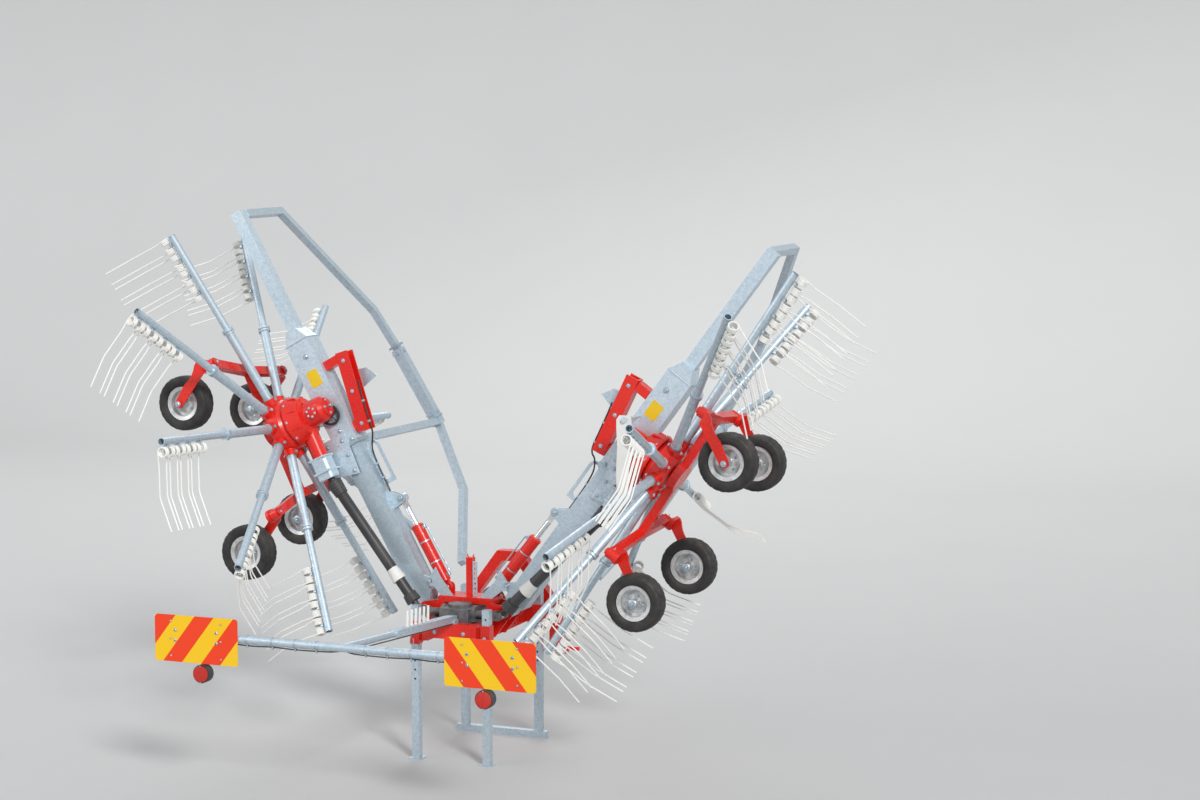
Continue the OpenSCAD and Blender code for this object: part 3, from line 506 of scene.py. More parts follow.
def makePlastic(name, colour, other, rough, ribs=0.0):
    # moulded plastic; ribs set fine rings along the height, for the lamp lenses
    material, tree, sockets = newMaterial(name, rough, Specular_IOR_Level=0.45)
    peel, edge = use(tree, "peel", Scale=320.0), use(tree, "edge", Width=0.003, Amount=0.5)
    # the edge layer lightens the plastic along its edges: painted highlight and worn edges
    layered(tree, sockets, colour, (spread(tree, peel["Tone"], 0.3, 0.8), other),
            (edge["Mask"], tuple(min(0.9, v * 1.3 + 0.03) for v in other)),
            (use(tree, "dust", Amount=0.3, Scale=6.0)["Mask"], dustColour))
    tree.links.new(spread(tree, peel["Tone"], 0.3, 0.8, (rough - 0.06, rough + 0.14)), sockets["Roughness"])
    height = peel["Height"]
    if ribs:
        wave = node(tree, "ShaderNodeTexWave", {"Vector": objectPlace(tree), "Scale": ribs, "Distortion": 0.0},
                    bands_direction="Z", wave_profile="SIN").outputs["Fac"]
        height = maths(tree, "ADD", maths(tree, "MULTIPLY", height, 0.2), wave)
    bumped(tree, sockets, height, 0.35 if ribs else 0.16, 0.0008)
    return material


def makeCastGrey():
    f = finishes["castGrey"]
    material, tree, sockets = newMaterial("castGrey", 0.55, 0.2)
    # the edge layer puts light grey on the edges: painted highlight and worn metal
    layered(tree, sockets, f["dark"], (spread(tree, noise(tree, 24.0, 6.0), 0.35, 0.7), f["colour"]),
            (use(tree, "edge", Width=0.004, Amount=0.6)["Mask"], (0.38, 0.38, 0.38)),
            (use(tree, "dust", Amount=0.5)["Mask"], dustColour))
    bumped(tree, sockets, noise(tree, 180.0, 6.0, 0.7), 0.5, 0.0012)
    return material


def makeRod():
    material, tree, sockets = newMaterial("brightRod", 0.12, 1.0)
    smear = spread(tree, noise(tree, 20.0, 5.0), 0.4, 0.8)
    layered(tree, sockets, (0.86, 0.87, 0.88), (smear, (0.62, 0.60, 0.55)))
    tree.links.new(spread(tree, smear, 0.0, 1.0, (0.08, 0.30)), sockets["Roughness"])
    bumped(tree, sockets, noise(tree, 900.0, 2.0), 0.05, 0.0003)
    return material


def makeRim():
    f = finishes["rimSilver"]
    material, tree, sockets = newMaterial("rimSilver", 0.36, 0.45, Coat_Weight=0.2)
    dust = use(tree, "dust", Amount=0.55, Scale=14.0)
    # the edge layer puts near white on the rim's edges: painted highlight and worn edges
    layered(tree, sockets, f["colour"], (spread(tree, noise(tree, 30.0, 5.0), 0.4, 0.8), f["dark"]),
            (use(tree, "edge", Width=0.003, Amount=0.5)["Mask"], (0.82, 0.82, 0.82)), (dust["Mask"], dustColour))
    tree.links.new(spread(tree, dust["Mask"], 0.0, 1.0, (0.30, 0.8)), sockets["Roughness"])
    bumped(tree, sockets, noise(tree, 150.0, 3.0), 0.12, 0.0006)
    return material


def makeRubber():
    f = finishes["rubber"]
    material, tree, sockets = newMaterial("rubber", 0.62, Specular_IOR_Level=0.35)
    # grey-brown on the tyre's edges is painted highlight and scuffing; the dust layer adds it as field dust
    layered(tree, sockets, f["colour"], (spread(tree, noise(tree, 16.0, 6.0), 0.35, 0.75), (0.032, 0.031, 0.030)),
            (use(tree, "edge", Width=0.004, Amount=0.5, Scale=60.0)["Mask"], f["dustAndHighlight"]),
            (use(tree, "dust", Amount=0.75, Scale=11.0, Height=6.0)["Mask"], f["dustAndHighlight"]))
    tree.links.new(spread(tree, noise(tree, 28.0, 4.0), 0.3, 0.8, (0.50, 0.82)), sockets["Roughness"])
    bumped(tree, sockets, noise(tree, 420.0, 3.0), 0.25, 0.0006)
    return material


def makeStripes():
    # slanted bands, mirrored about the centre plane, with the sheeting's fine rows over them
    f = finishes["stripes"]
    material, tree, sockets = newMaterial("boardStripes", 0.45, Coat_Weight=0.12, Coat_Roughness=0.2,
                                          Specular_IOR_Level=0.35)
    place = node(tree, "ShaderNodeSeparateXYZ", {0: objectPlace(tree)}).outputs
    across = maths(tree, "ABSOLUTE", maths(tree, "SUBTRACT", place["X"], midX))
    up = maths(tree, "SUBTRACT", place["Z"], machine["lightsUp"] - 0.020)
    slanted = maths(tree, "ADD", across, maths(tree, "MULTIPLY", up, 1 / math.tan(math.radians(f["slope"]))))
    turn = maths(tree, "FRACT", maths(tree, "DIVIDE", maths(tree, "SUBTRACT", slanted, f["start"]), 2 * f["width"]))
    band = maths(tree, "LESS_THAN", turn, 0.5)
    rows = maths(tree, "FRACT", maths(tree, "MULTIPLY", place["Z"], 240.0))
    fine = spread(tree, maths(tree, "ABSOLUTE", maths(tree, "SUBTRACT", rows, 0.5)), 0.36, 0.5, (0.0, 0.22))
    layered(tree, sockets, f["yellow"], (band, f["red"]), (fine, (0.30, 0.10, 0.01)),
            (use(tree, "dust", Amount=0.10, Scale=7.0)["Mask"], dustColour))
    bumped(tree, sockets, maths(tree, "ADD", fine, noise(tree, 30.0, 4.0)), 0.12, 0.0008)
    return material


redPaint, zinc, tineWire = makeRedPaint(), makeZinc(), makeTineWire()
boltZinc = makeZinc("boltZinc", 0.86, 0.8)
brightZinc = makeZinc("brightZinc", 1.10, 0.35)
blackPlastic = makePlastic("blackPlastic", (0.018, 0.018, 0.020), (0.055, 0.055, 0.06), 0.42)
whitePlastic = makePlastic("whitePlastic", (0.82, 0.82, 0.80), (0.66, 0.66, 0.62), 0.40)
lampRed = makePlastic("lampRed", (0.46, 0.008, 0.006), (0.60, 0.02, 0.012), 0.16, 38.0)
labelYellow = makePlastic("labelYellow", (0.86, 0.60, 0.01), (0.80, 0.52, 0.01), 0.30)
castGrey, brightRod, rimSilver, rubber, stripes = makeCastGrey(), makeRod(), makeRim(), makeRubber(), makeStripes()
print("materials made")

nodeFinish = {
    redPaint: ("headstock", "centre_frame", "guide_post", "gearbox", "setting_channel", "undercarriage",
               "fold_barrel", "rotor_hub", "castor"),
    zinc: ("lock_hooks", "light_arm", "leg", "front_stand", "arm_beam", "guard", "tine_arms"),
    brightZinc: ("arm_head",), castGrey: ("centre_gearbox",), blackPlastic: ("drive_shaft",), tineWire: ("tines",),
    brightRod: ("fold_rod",), rimSilver: ("rim",), rubber: ("tyre",), stripes: ("warning_boards",),
    lampRed: ("rear_lamps",), whitePlastic: ("flap",),
}
for name, solid in solids.items():
    for material, keys in nodeFinish.items():
        if name.startswith(keys):
            solid.data.materials.clear()
            solid.data.materials.append(material)
print("solids finished")

# Spring tines: each a round wire with two coils under the arm tube, in place of the plain solids
springTine = {
    "wire": 0.0045, "coilMean": 0.0295, "drop": 0.066, "legX": 0.040, "coilOut": 0.0505, "coilIn": 0.0135,
    "turns": 4.25, "helixSteps": 58, "splay": 0.090, "upper": 0.275, "lower": 0.218, "bend": 20.0,
    "near": 0.018, "kneeRound": 0.0012, "barEnd": 0.0145, "seat": -0.0243,
    "tip": 1.460, "first": 0.054, "pitch": 0.118, "count": 4,
    "track": ((0, 0), (198, 0), (217, 25), (240, 65), (290, 68), (325, 25), (340, 0), (360, 0)),
}


def tineHalf(s):
    # lower leg, knee, upper leg, then a helix round x: y = r cos t, z = r sin t
    p = springTine
    b = math.radians(p["bend"])
    knee = np.array([s * p["legX"], p["coilMean"], -p["drop"] - p["upper"]])
    down = np.array([0, -math.sin(b), -math.cos(b)])
    lead = [knee + p["lower"] * down, knee + p["near"] * down, knee + [0, -p["kneeRound"], p["kneeRound"]],
            knee + [0, 0, p["near"]], [s * p["legX"], p["coilMean"], -p["drop"] - p["splay"]]]
    t = np.linspace(0, 2 * math.pi * p["turns"], p["helixSteps"])
    helix = np.stack([s * np.interp(t, (0, t[-1]), (p["coilOut"], p["coilIn"])),
                      p["coilMean"] * np.cos(t), -p["drop"] + p["coilMean"] * np.sin(t)], -1)
    return tube(np.vstack([lead, helix]), p["wire"], 7, up=(1, 0, 0))


def springTineShape():
    p = springTine
    top, seat = p["coilMean"] - p["drop"], p["seat"]
    bar = tube([(x, 0, top) for x in (-p["barEnd"], 0, p["barEnd"])], p["wire"], 7)
    clip = block((-0.008, -0.015, top - 0.008), (0.008, 0.015, seat), 0.0015, 1)
    saddle = block((-0.013, -0.019, seat - 0.0042), (0.013, 0.019, seat), 0.001, 1)
    nut = moved(bolt(0.0075, 0.004, place=2), (0, 0, top - 0.008), "x", 180)
    return joined([tineHalf(1), tineHalf(-1), bar, clip, saddle, nut])


def addSpringTines(side):
    p = springTine
    degrees, turn = zip(*p["track"])
    outs = p["tip"] - p["first"] - p["pitch"] * np.arange(p["count"])
    frames = [shifted(arm, (out, 0, 0), "x", -np.interp(angle % 360, degrees, turn))
              for arm, angle in tineArmFrames(side) for out in outs]
    makePiece("springTines_" + side, put(springTineShape(), *frames), "rotor_" + side,
              [tineWire, zinc, boltZinc], ["tines_" + side])


eachSide(addSpringTines, "spring tines made")

# Fittings of the tine arms and hub: collar bolts, socket bolts, the end rim and the band at the socket
armFitting = {"collar": (0.736, 0.030), "socket": (0.196, 0.043), "end": 1.4598, "band": 0.2155}


def addArmFittings(side):
    p = armFitting
    one = [scatter(shape, turned(home, "x", 90 - 90 * s), [(x, 0, high)]) for (x, high), shape in
           ((p["collar"], bolt(0.0085, 0.004)), (p["socket"], bolt(0.011, 0.005))) for s in (-1, 1)]
    one += [scatter(bolt(0.007), home, [(p["collar"][0] - 0.005, y, 0) for y in (0.034, -0.034)], "y", -90),
            moved(hoop(-0.010, 0.0, 0.0195, 0.0244), (p["end"], 0, 0), "y", 90),
            moved(hoop(0.0, 0.014, 0.0306, 0.0338), (p["band"], 0, 0), "y", 90)]
    makePiece("armFittings_" + side, put(joined(one), *[arm for arm, _ in tineArmFrames(side)]), "rotor_" + side,
              [boltZinc])


eachSide(addArmFittings, "arm fittings made")

# Tyres with rounded shoulders and ribbed tread, in place of the plain ones
tyre = {
    "radius": 0.180, "half": 0.065, "rim": 0.100, "tread": 0.041, "around": 96,
    "grooves": (-0.033, -0.011, 0.011, 0.033), "deep": 0.006, "cuts": 24, "cutDeep": 0.0022,
}


def tyreShape():
    # a cross-section turned about y; grooves run round it and small cuts cross the shoulders
    p = tyre
    r, rim = p["radius"], p["rim"]
    flank = np.array([(p["tread"], rim), (0.0415, rim + 0.012), (0.055, rim + 0.014), (0.063, rim + 0.026),
                      (p["half"], rim + 0.042), (0.0642, rim + 0.050), (0.0646, rim + 0.054), (0.0622, rim + 0.064),
                      (0.058, r - 0.0115), (0.052, r - 0.006), (0.045, r - 0.0028)])
    y = np.linspace(p["tread"], -p["tread"], 39)
    crown = r - 0.0028 + 0.0026 * (1 - (y / p["tread"]) ** 2)
    dip = np.max([np.clip(1.6 - np.abs(y - g) / 0.0022, 0, 1) for g in p["grooves"]], axis=0)
    half = np.vstack([flank, np.column_stack([y, crown - p["deep"] * dip]), flank[::-1] * [-1, 1]])
    t = 2 * np.pi * np.arange(p["around"])[:, None] / p["around"]
    shoulder = (np.abs(half[:, 0]) > 0.036) & (half[:, 1] > r - 0.014)
    radius = half[:, 1] - p["cutDeep"] * (np.sin(t * p["cuts"]) > 0.55) * shoulder
    points = np.stack([radius * np.cos(t), np.broadcast_to(half[:, 0], radius.shape), radius * np.sin(t)], -1)
    return grid(points, wrapU=True, wrapV=True)


# Rim dressings: hub cap, four nuts and a valve
rimTrim = {"nuts": 4, "nutRing": 0.050, "nutTurn": 0.4, "seat": {1: 0.003, -1: 0.0225}, "valveRing": 0.083}


def rimTrimShape(out):
    # drawn about y, on the side of the wheel that out points to; local z points that way
    p = rimTrim
    facing = turned(turned(home, "z", 90 - 90 * out), "x", -90)
    cap = lathe([(0.0652, 0.0278), (0.068, 0.0278), (0.0715, 0.0235), (0.0725, 0.0125), (0.0700, 0.0105)], 24)
    stem = lathe([(0.012, 0.0042), (0.030, 0.0042), (0.031, 0.0034), (0.043, 0.0034), (0.044, 0.0026)], 10)
    return joined([scatter(bolt(0.009, 0.005), facing, circle(p["nutRing"], p["nuts"], p["seat"][out], p["nutTurn"])),
                   put(cap, facing), put(stem, shifted(facing, (p["valveRing"], 0, 0.006)))])


# King caps, axle nuts and grease nipples of the castors
castorTrim = {"axleOut": 0.101, "axleEnd": 0.081, "kingEnd": -0.4395, "nipple": (0.036, 0, -0.480)}


def addCastors(side):
    p = castorTrim
    nipple = lathe([(0.0, 0.004), (0.006, 0.004), (0.008, 0.0024), (0.013, 0.0024)], 8)
    axleCap = joined([lathe([(-0.0083, 0.0128), (0.0010, 0.0128)], 20), bolt(0.0125, 0.003, False)])
    for n, (out, across, arm) in enumerate(machine["kings"], 1):
        label = "%s_%d" % (side, n)
        king = shifted(rotorFrame(side), (out, across, 0))
        hub = shifted(king, (-machine["trail"], 0, machine["axleLevel"]))
        makePiece("tyreTread_" + label, put(tyreShape(), hub), "wheel_" + label, [rubber],
                  ["tyre_" + label], 30)
        makePiece("rimTrim_" + label, put(rimTrimShape(-arm), hub), "wheel_" + label, [boltZinc])
        parts = [put(bolt(0.016, 0.006), shifted(hub, (0, arm * p["axleOut"], 0), "x", -90 * arm)),
                 put(bolt(0.011, 0, False), shifted(king, (0, 0, p["kingEnd"]))),
                 put(axleCap, shifted(hub, (0, -arm * p["axleEnd"], 0), "x", 90 * arm)),
                 put(nipple, shifted(king, p["nipple"], "y", 90))]
        makePiece("castorTrim_" + label, joined(parts), "castor_" + label, [boltZinc])


eachSide(addCastors, "castors and tyres made")

# Shaft guards: black tube with ribbed bells, and a white cone, in place of the plain solids
shaftGuard = {
    "inputOut": 1.040, "inputLevel": -0.225, "gap": 0.003, "white": (0.2388, 0.3306), "corners": 40, "rib": 0.0022,
}


def ribbed(z0, z1, r0, r1, ribs):
    # a run of a profile, in (height, radius), that dips between its ribs
    share = np.linspace(0, 1, ribs * 8 + 1)
    dip = shaftGuard["rib"] * (1 - np.cos(share * ribs * 2 * np.pi)) / 2
    return np.column_stack([z0 + (z1 - z0) * share, r0 + (r1 - r0) * share - dip])


def addShaftGuard(side):
    p = shaftGuard
    end = math.hypot(p["inputOut"], p["inputLevel"]) - p["gap"]
    tilt = math.degrees(math.atan2(-p["inputLevel"], p["inputOut"]))
    start = shifted(unitFrame(side), (0, -machine["rotorBack"], 0))
    black = np.vstack([[(0.021, 0.0), (0.021, 0.020), (0.030, 0.0218), (0.0705, 0.0218), (0.0702, 0.050)],
                       ribbed(0.072, 0.130, 0.0518, 0.046, 4), [(0.1305, 0.0350), (0.2385, 0.0350)]])
    white = [(0.239, 0.0351), (0.2395, 0.0488), (0.242, 0.0498), (0.250, 0.0482), (0.258, 0.0462), (0.300, 0.0408),
             (0.318, 0.0385), (0.3215, 0.0372), (0.329, 0.0362), (0.3305, 0.0378)]
    far = np.vstack([[(0.3306, 0.0378), (0.336, 0.0380), (0.345, 0.0364), (end - 0.138, 0.0364),
                      (end - 0.1355, 0.0380), (end - 0.1345, 0.0446)],
                     ribbed(end - 0.133, end - 0.038, 0.0455, 0.0546, 5),
                     [(end - 0.0355, 0.0528), (end - 0.035, 0.0232), (end, 0.0228), (end, 0.0)]])
    cross = tube([(0, y, 0) for y in (-0.027, -0.0255, 0.0255, 0.027)], [0.0185, 0.0208, 0.0208, 0.0185], 24, place=2)
    shape = lathe(np.vstack([black, white, far]), p["corners"])
    quads = shape["faces"].pop((4, 0))
    height = shape["points"][quads].mean(1)[:, 2]
    isWhite = (height > p["white"][0]) & (height < p["white"][1])
    shape["faces"].update({(4, 0): quads[~isWhite], (4, 1): quads[isWhite]})
    makePiece("shaftGuard_" + side, joined([put(shape, turned(start, "y", 90 + tilt)), put(cross, start)]),
              "unit_" + side, [blackPlastic, whitePlastic, boltZinc], ["drive_shaft_" + side])


eachSide(addShaftGuard, "shaft guards made")

# Dressings of the arms: handwheel, blank yellow plate, bolts, collar strap and weld beads
armTrim = {
    "back": 0.075, "wheel": (1.420, 0.002), "wheelR": 0.062, "spokes": 5, "spokeTurn": 14,
    "plate": (1.690, 0.004), "plateSize": (0.115, 0.085), "plateCut": 0.008,
    "through": ((1.215, 0.055), (1.215, -0.055), (1.845, 0.018)), "strap": (1.182, 0.024, 0.079, 0.094),
    "beads": ((2.051, 0.0405, 0.0405), (1.9605, 0.0905, 0.0755)), "bead": 0.0038,
}


def handwheelShape():
    # a rim, a domed hub and flat spokes, standing out along z
    p = armTrim
    rim = tube(circle(p["wheelR"], 48, 0.024), 0.0085, 10, loop=True)
    hub = lathe([(0.0, 0.014), (0.022, 0.014), (0.025, 0.019), (0.030, 0.018), (0.034, 0.010)], 20)
    spoke = tube([(0.014, 0, 0.026), (0.034, 0, 0.0225), (0.058, 0, 0.024)], [0.0062, 0.0050, 0.0052], 8)
    spokes = [moved(spoke, (0, 0, 0), "z", 360 / p["spokes"] * i + p["spokeTurn"]) for i in range(p["spokes"])]
    return joined([rim, hub, *spokes, moved(bolt(0.009, 0.003, False, 1), (0, 0, 0.033))])


def addArmTrim(side):
    p = armTrim
    beam = beamFrame(side)
    def rear(out, level):
        # z points backwards out of the arm's rear face, x along the arm
        return shifted(beam, (out, -p["back"], level), "x", 90)
    makePiece("handwheel_" + side, put(handwheelShape(), rear(*p["wheel"])), "unit_" + side,
              [blackPlastic, boltZinc])
    w, h = (v / 2 for v in p["plateSize"])
    plate = slab(cutCorners(-w, -h, w, h, p["plateCut"]), 0.0, 0.0015)
    makePiece("yellowPlate_" + side, put(plate, rear(*p["plate"])), "unit_" + side, [labelYellow])
    # bolts through the sleeve and the beam
    m12 = bolt(0.012, 0.005)
    parts = [put(bolt(0.016, 0.006), rear(1.845, 0.018)),
             put(m12, rear(1.215, 0.055), rear(1.215, -0.055), rear(1.30, 0.0)),
             scatter(m12, beam, [(out, p["back"], level) for out, level in p["through"]], "x", -90)]
    # collar strap round the mouth of the sleeve, and weld beads at the taper and the outer tube
    out, wide, across, high = p["strap"]
    strap = stacked(rectangle(high, across), ((0.985, 0), (1, 0), (1, wide), (0.985, wide)), wrapU=True)
    parts.append(put(strap, shifted(beam, (out, 0, 0), "y", 90)))
    for out, half, wide in p["beads"]:
        loop = [(out, y * wide, z * half) for y, z in
                ((-1, -1), (0, -1), (1, -1), (1, 0), (1, 1), (0, 1), (-1, 1), (-1, 0))]
        parts.append(put(tube(loop, p["bead"], 6, up=(1, 0, 0), loop=True), beam))
    makePiece("armBolts_" + side, joined(parts), "unit_" + side, [boltZinc])


eachSide(addArmTrim, "arm dressings made")

# Input cover: a folded box round the shaft's end at the gearbox, its flange and the plate's bolts
inputCover = {
    "out": 1.030, "level": -0.235, "half": 0.058, "cut": 0.014, "length": 0.148, "flange": 0.065, "flangeT": 0.009,
    "plate": ((1.02, -0.085), (1.23, -0.085), (1.23, -0.205), (1.13, -0.085)), "plateBack": 0.087,
}


def addInputCover(side):
    p = inputCover
    unit = unitFrame(side)
    at = shifted(unit, (p["out"], -machine["rotorBack"], p["level"]), "y", 90)
    h, f, end, lip = p["half"], p["flange"], p["length"], p["length"] + p["flangeT"]
    walls = ((0.93, 0.0), (0.98, 0.003), (1.0, 0.012), (1.0, end - 0.012), (1.0, end),
             (0.93, end), (0.93, 0.012), (0.86, 0.006))
    corners = [(x * 0.82 * f, y * 0.82 * f, end) for x in (-1, 1) for y in (-1, 1)]
    parts = [put(stacked(cutCorners(-h, -h, h, h, p["cut"]), walls, wrapU=True), at),
             put(stacked(rectangle(f, f), ((1.0, end), (1.0, lip), (0.84, lip), (0.84, end)), wrapU=True), at),
             scatter(bolt(0.010, place=1), at, corners, "x", 180),
             scatter(bolt(0.012, 0.004, place=1), unit, [(out, -p["plateBack"], z) for out, z in p["plate"]], "x", 90)]
    makePiece("inputCover_" + side, joined(parts), "unit_" + side, [brightZinc, boltZinc])


eachSide(addInputCover, "input covers made")

# Gearbox dressings: flange bolts, cap with its bolts and breather, and a cover plate on the neck
# Rings of bolts: radius, count, level
gearTrim = {
    "flange": (0.158, 8, -0.280), "cap": (0.046, 4, -0.034),
    "neck": (0, -0.0855, -0.120), "plate": (0.030, 6, 0.009),
}


def addGearTrim(side):
    p = gearTrim
    axis = rotorFrame(side)
    neck = shifted(axis, p["neck"], "x", 90)
    cap = lathe([(-0.0455, 0.0), (-0.0455, 0.062), (-0.041, 0.066), (-0.036, 0.064), (-0.033, 0.052),
                 (-0.033, 0.0)], 32)
    breather = lathe([(0.0, 0.007), (0.010, 0.007), (0.010, 0.010), (0.022, 0.010), (0.026, 0.006)], 12, 1)
    plate = lathe([(0.0, 0.040), (0.008, 0.040), (0.010, 0.037), (0.010, 0.0)], 28)
    parts = [scatter(bolt(0.011, place=1), axis, circle(*p["flange"])), put(cap, axis),
             scatter(bolt(0.009, place=1), axis, circle(*p["cap"])), put(breather, shifted(axis, (0, 0, p["cap"][2]))),
             put(plate, neck), scatter(bolt(0.007, place=1), neck, circle(*p["plate"]))]
    makePiece("gearTrim_" + side, joined(parts), "unit_" + side, [redPaint, boltZinc])


eachSide(addGearTrim, "gearbox dressings made")

# Hoses, wing plates and clips of the setting channels
channelTrim = {"from": (1.240, 0, 0.090), "tilt": -11.0, "floor": 0.012, "hose": 0.0055, "wing": 0.0465}


def addChannelTrim(side):
    p = channelTrim
    beam = beamFrame(side)
    channel = shifted(shifted(beam, p["from"], "y", p["tilt"]), (0, 0, p["floor"]))
    upper = along(channel, [(0.330, -0.030, 0.1005), (0.25, -0.030, 0.0975), (0.12, -0.030, 0.0965),
                            (0.02, -0.026, 0.0965), (-0.03, -0.010, 0.085)])
    lower = along(beam, [(1.165, 0.012, 0.150), (1.10, 0.016, 0.112), (1.00, 0.018, 0.098), (0.90, 0.018, 0.094),
                         (0.80, 0.016, 0.094)])
    clip = block((-0.007, -0.0095, -0.009), (0.007, 0.0095, 0.0075), 0.0015, 1)
    wing = slab([(0.280, 0.050), (0.405, 0.050), (0.398, 0.150), (0.330, 0.206), (0.280, 0.096)], -0.0015, 0.0015, 2)
    lip = slab([(0.278, 0.090), (0.282, 0.090), (0.332, 0.206), (0.329, 0.209)], -0.0015, 0.016, 2)
    flat = shifted(channel, (0, p["wing"], 0), "x", 90)
    parts = [tube(smoothPath(np.vstack([upper, lower]), 6), p["hose"], 10, up=(0, 1, 0)),
             scatter(clip, channel, [(x, -0.030, 0.0965) for x in (0.05, 0.19)]),
             scatter(clip, beam, [(1.00, 0.018, 0.098), (0.90, 0.018, 0.094)]), put(joined([wing, lip]), flat),
             scatter(bolt(0.009, 0.003, place=1), flat, [(0.30, 0.070, 0.0015), (0.385, 0.070, 0.0015)]),
             # bolts across the channel's walls
             scatter(bolt(0.011, 0.004, place=1), channel, [(x, -0.045, 0.045) for x in (0.05, 0.27, 0.48)], "x", 90)]
    makePiece("channelTrim_" + side, joined(parts), "unit_" + side, [blackPlastic, boltZinc, zinc])


eachSide(addChannelTrim, "channel dressings made")

# Collars and bolts of the guard's sleeve
guardTrim = {
    "level": -0.150, "from": (1.820, 1.370), "to": (1.210, 1.510), "half": 0.038,
    "collar": (0.014, 0.037, 0.0425), "collars": (-0.030, -0.064), "bolts": (0.030, -0.090),
}


def addGuardTrim(side):
    # places along the sleeve: the first from its start, the second from its end
    p = guardTrim
    run = np.subtract(p["to"], p["from"])
    ends = np.array([0, np.linalg.norm(run)])
    line = shifted(unitFrame(side), (*p["from"], p["level"]), "z", math.degrees(math.atan2(run[1], run[0])))
    wide, inner, outer = p["collar"]
    share = inner / outer
    collar = stacked(rectangle(outer, outer), ((1, 0), (1, wide), (share, wide), (share, 0)), wrapU=True)
    parts = [scatter(collar, line, [(x, 0, 0) for x in ends + p["collars"]], "y", 90)]
    for x in ends + p["bolts"]:
        parts += [put(bolt(0.012, 0.008), shifted(line, (x, 0, p["half"]))),
                  put(bolt(0.012, 0.016, False), shifted(line, (x, 0, -p["half"]), "x", 180)),
                  put(bolt(0.011, 0.020), shifted(line, (x, p["half"], 0), "x", -90))]
    makePiece("guardTrim_" + side, joined(parts), "unit_" + side, [boltZinc])


eachSide(addGuardTrim, "guard dressings made")

# Cylinder eyes, on the machine and on the arm, that the pins and the barrel's dressings share
eyes = {"base": (0.170, 0.020, 1.080), "rod": (0.720, 0.020, 0.150), "head": 0.0185}

# Pins of the frame: fold pins, cylinder pins, leg pins with their rings, and the rod's pins on the arms
pinTrim = {
    "foldEnd": 0.098, "baseEnd": 0.030, "rodEnd": 0.035,
    "legs": ((0.25, -0.30), (0.27, 0.50)), "legHole": 0.830, "sleeve": 0.040,
}


def pinHead(radius, thick=0.006):
    return joined([lathe([(0, radius), (thick - 0.0015, radius), (thick, radius - 0.0015)], 24),
                   lathe([(0, radius * 0.35), (thick + 0.004, radius * 0.35), (thick + 0.006, radius * 0.22)], 12)])


def linchPin():
    # a pin down through the end of a shaft, with a spring ring round it
    ring = moved(tube(circle(0.016, 20), 0.0016, 6, loop=True), (0, 0, 0.006), "x", 20)
    return joined([tube([(0, 0.016, -0.016), (0, 0.016, 0.020)], 0.003, 8, up=(1, 0, 0)), ring])


def addFramePins():
    p = pinTrim
    head = pinHead(eyes["head"])
    # two stubs: the pin stops short of the leg, so that the leg can slide
    stubs = joined([lathe([(-0.0135, 0.0068), (0.014, 0.0068)], 14),
                    lathe([(-0.095, 0.0062), (-0.093, 0.0068), (-0.0665, 0.0068)], 14),
                    moved(pinHead(0.0125, 0.005), (0, 0, 0.004))])
    parts = []
    for s in (-1, 1):
        x, y, z = eyes["base"]
        for face, sign in ((facingFront, 1), (facingBack, -1)):
            parts += [put(pinHead(0.026, 0.007), face(s * machine["pinX"], sign * p["foldEnd"], machine["pinZ"])),
                      put(head, face(s * x, y + sign * p["baseEnd"], z))]
        grip = [(0, 0, 0.012), (0, -0.004, 0.026), (s * 0.010, -0.022, 0.030), (s * 0.012, -0.058, 0.030),
                (0, -0.070, 0.030), (s * -0.012, -0.058, 0.030), (s * -0.010, -0.024, 0.030)]
        grip = tube(smoothPath(grip, 4), 0.003, 8)
        for x, y in p["legs"]:
            parts += [put(joined([stubs, grip]), facingBack(s * x, y - p["sleeve"], p["legHole"])),
                      put(linchPin(), facingFront(s * x, y + p["sleeve"], p["legHole"]))]
    makePiece("framePins", joined(parts), "frame", [boltZinc])
    x, y, z = eyes["rod"]
    for side in sideSign:
        rods = [put(head, shifted(beamFrame(side), (x, y + s * p["rodEnd"], z), "x", -90 * s)) for s in (-1, 1)]
        makePiece("rodPins_" + side, joined(rods), "unit_" + side, [boltZinc])


addFramePins()
print("pins made")

# Oil pipe and port blocks of the fold cylinders
barrelTrim = {"radius": 0.040, "low": 0.075, "high": 0.425, "bands": (0.18, 0.33), "pipe": 0.005}


def addBarrelTrim(side):
    p = barrelTrim
    s = sideSign[side]
    x, y, z = eyes["base"]
    base, eye = along(machineFrame, [(s * x, y, z)])[0], along(beamFrame(side), [eyes["rod"]])[0]
    up = (eye - base) / np.linalg.norm(eye - base)
    over = np.array([-s * up[2], 0.0, s * up[0]])          # away from the arm, where the pipe has room as it folds
    line = (base, np.array([np.cross(over, up), over, up]))
    r, low, high = p["radius"], p["low"], p["high"]
    pipe = [(0, r + rise, z) for rise, z in ((0.004, high - 0.002), (0.022, high - 0.006), (0.024, high - 0.035),
                                             (0.024, 0.25), (0.024, low + 0.060), (0.022, low + 0.030))]
    gland = [(0.440, 0.0401), (0.4415, 0.0425), (0.452, 0.0425), (0.4535, 0.041), (0.4535, 0.034), (0.440, 0.034)]
    port = block((-0.013, r - 0.006, -0.013), (0.013, r + 0.016, 0.013), 0.002, 1)
    parts = [scatter(port, line, [(0, 0, low), (0, 0, high)]),
             put(tube(smoothPath(pipe, 6), p["pipe"], 10, up=(1, 0, 0), place=1), line),
             put(lathe([(0, 0.009), (0.016, 0.009), (0.018, 0.007)], 6, 1), shifted(line, (0, r + 0.023, low + 0.018))),
             scatter(hoop(0.0, 0.008, r + 0.0006, r + 0.0022, 40, 1), line, [(0, 0, z) for z in p["bands"]]),
             put(lathe(gland, 40, loop=True), line)]
    makePiece("barrelTrim_" + side, joined(parts), "barrel_" + side, [redPaint, boltZinc])


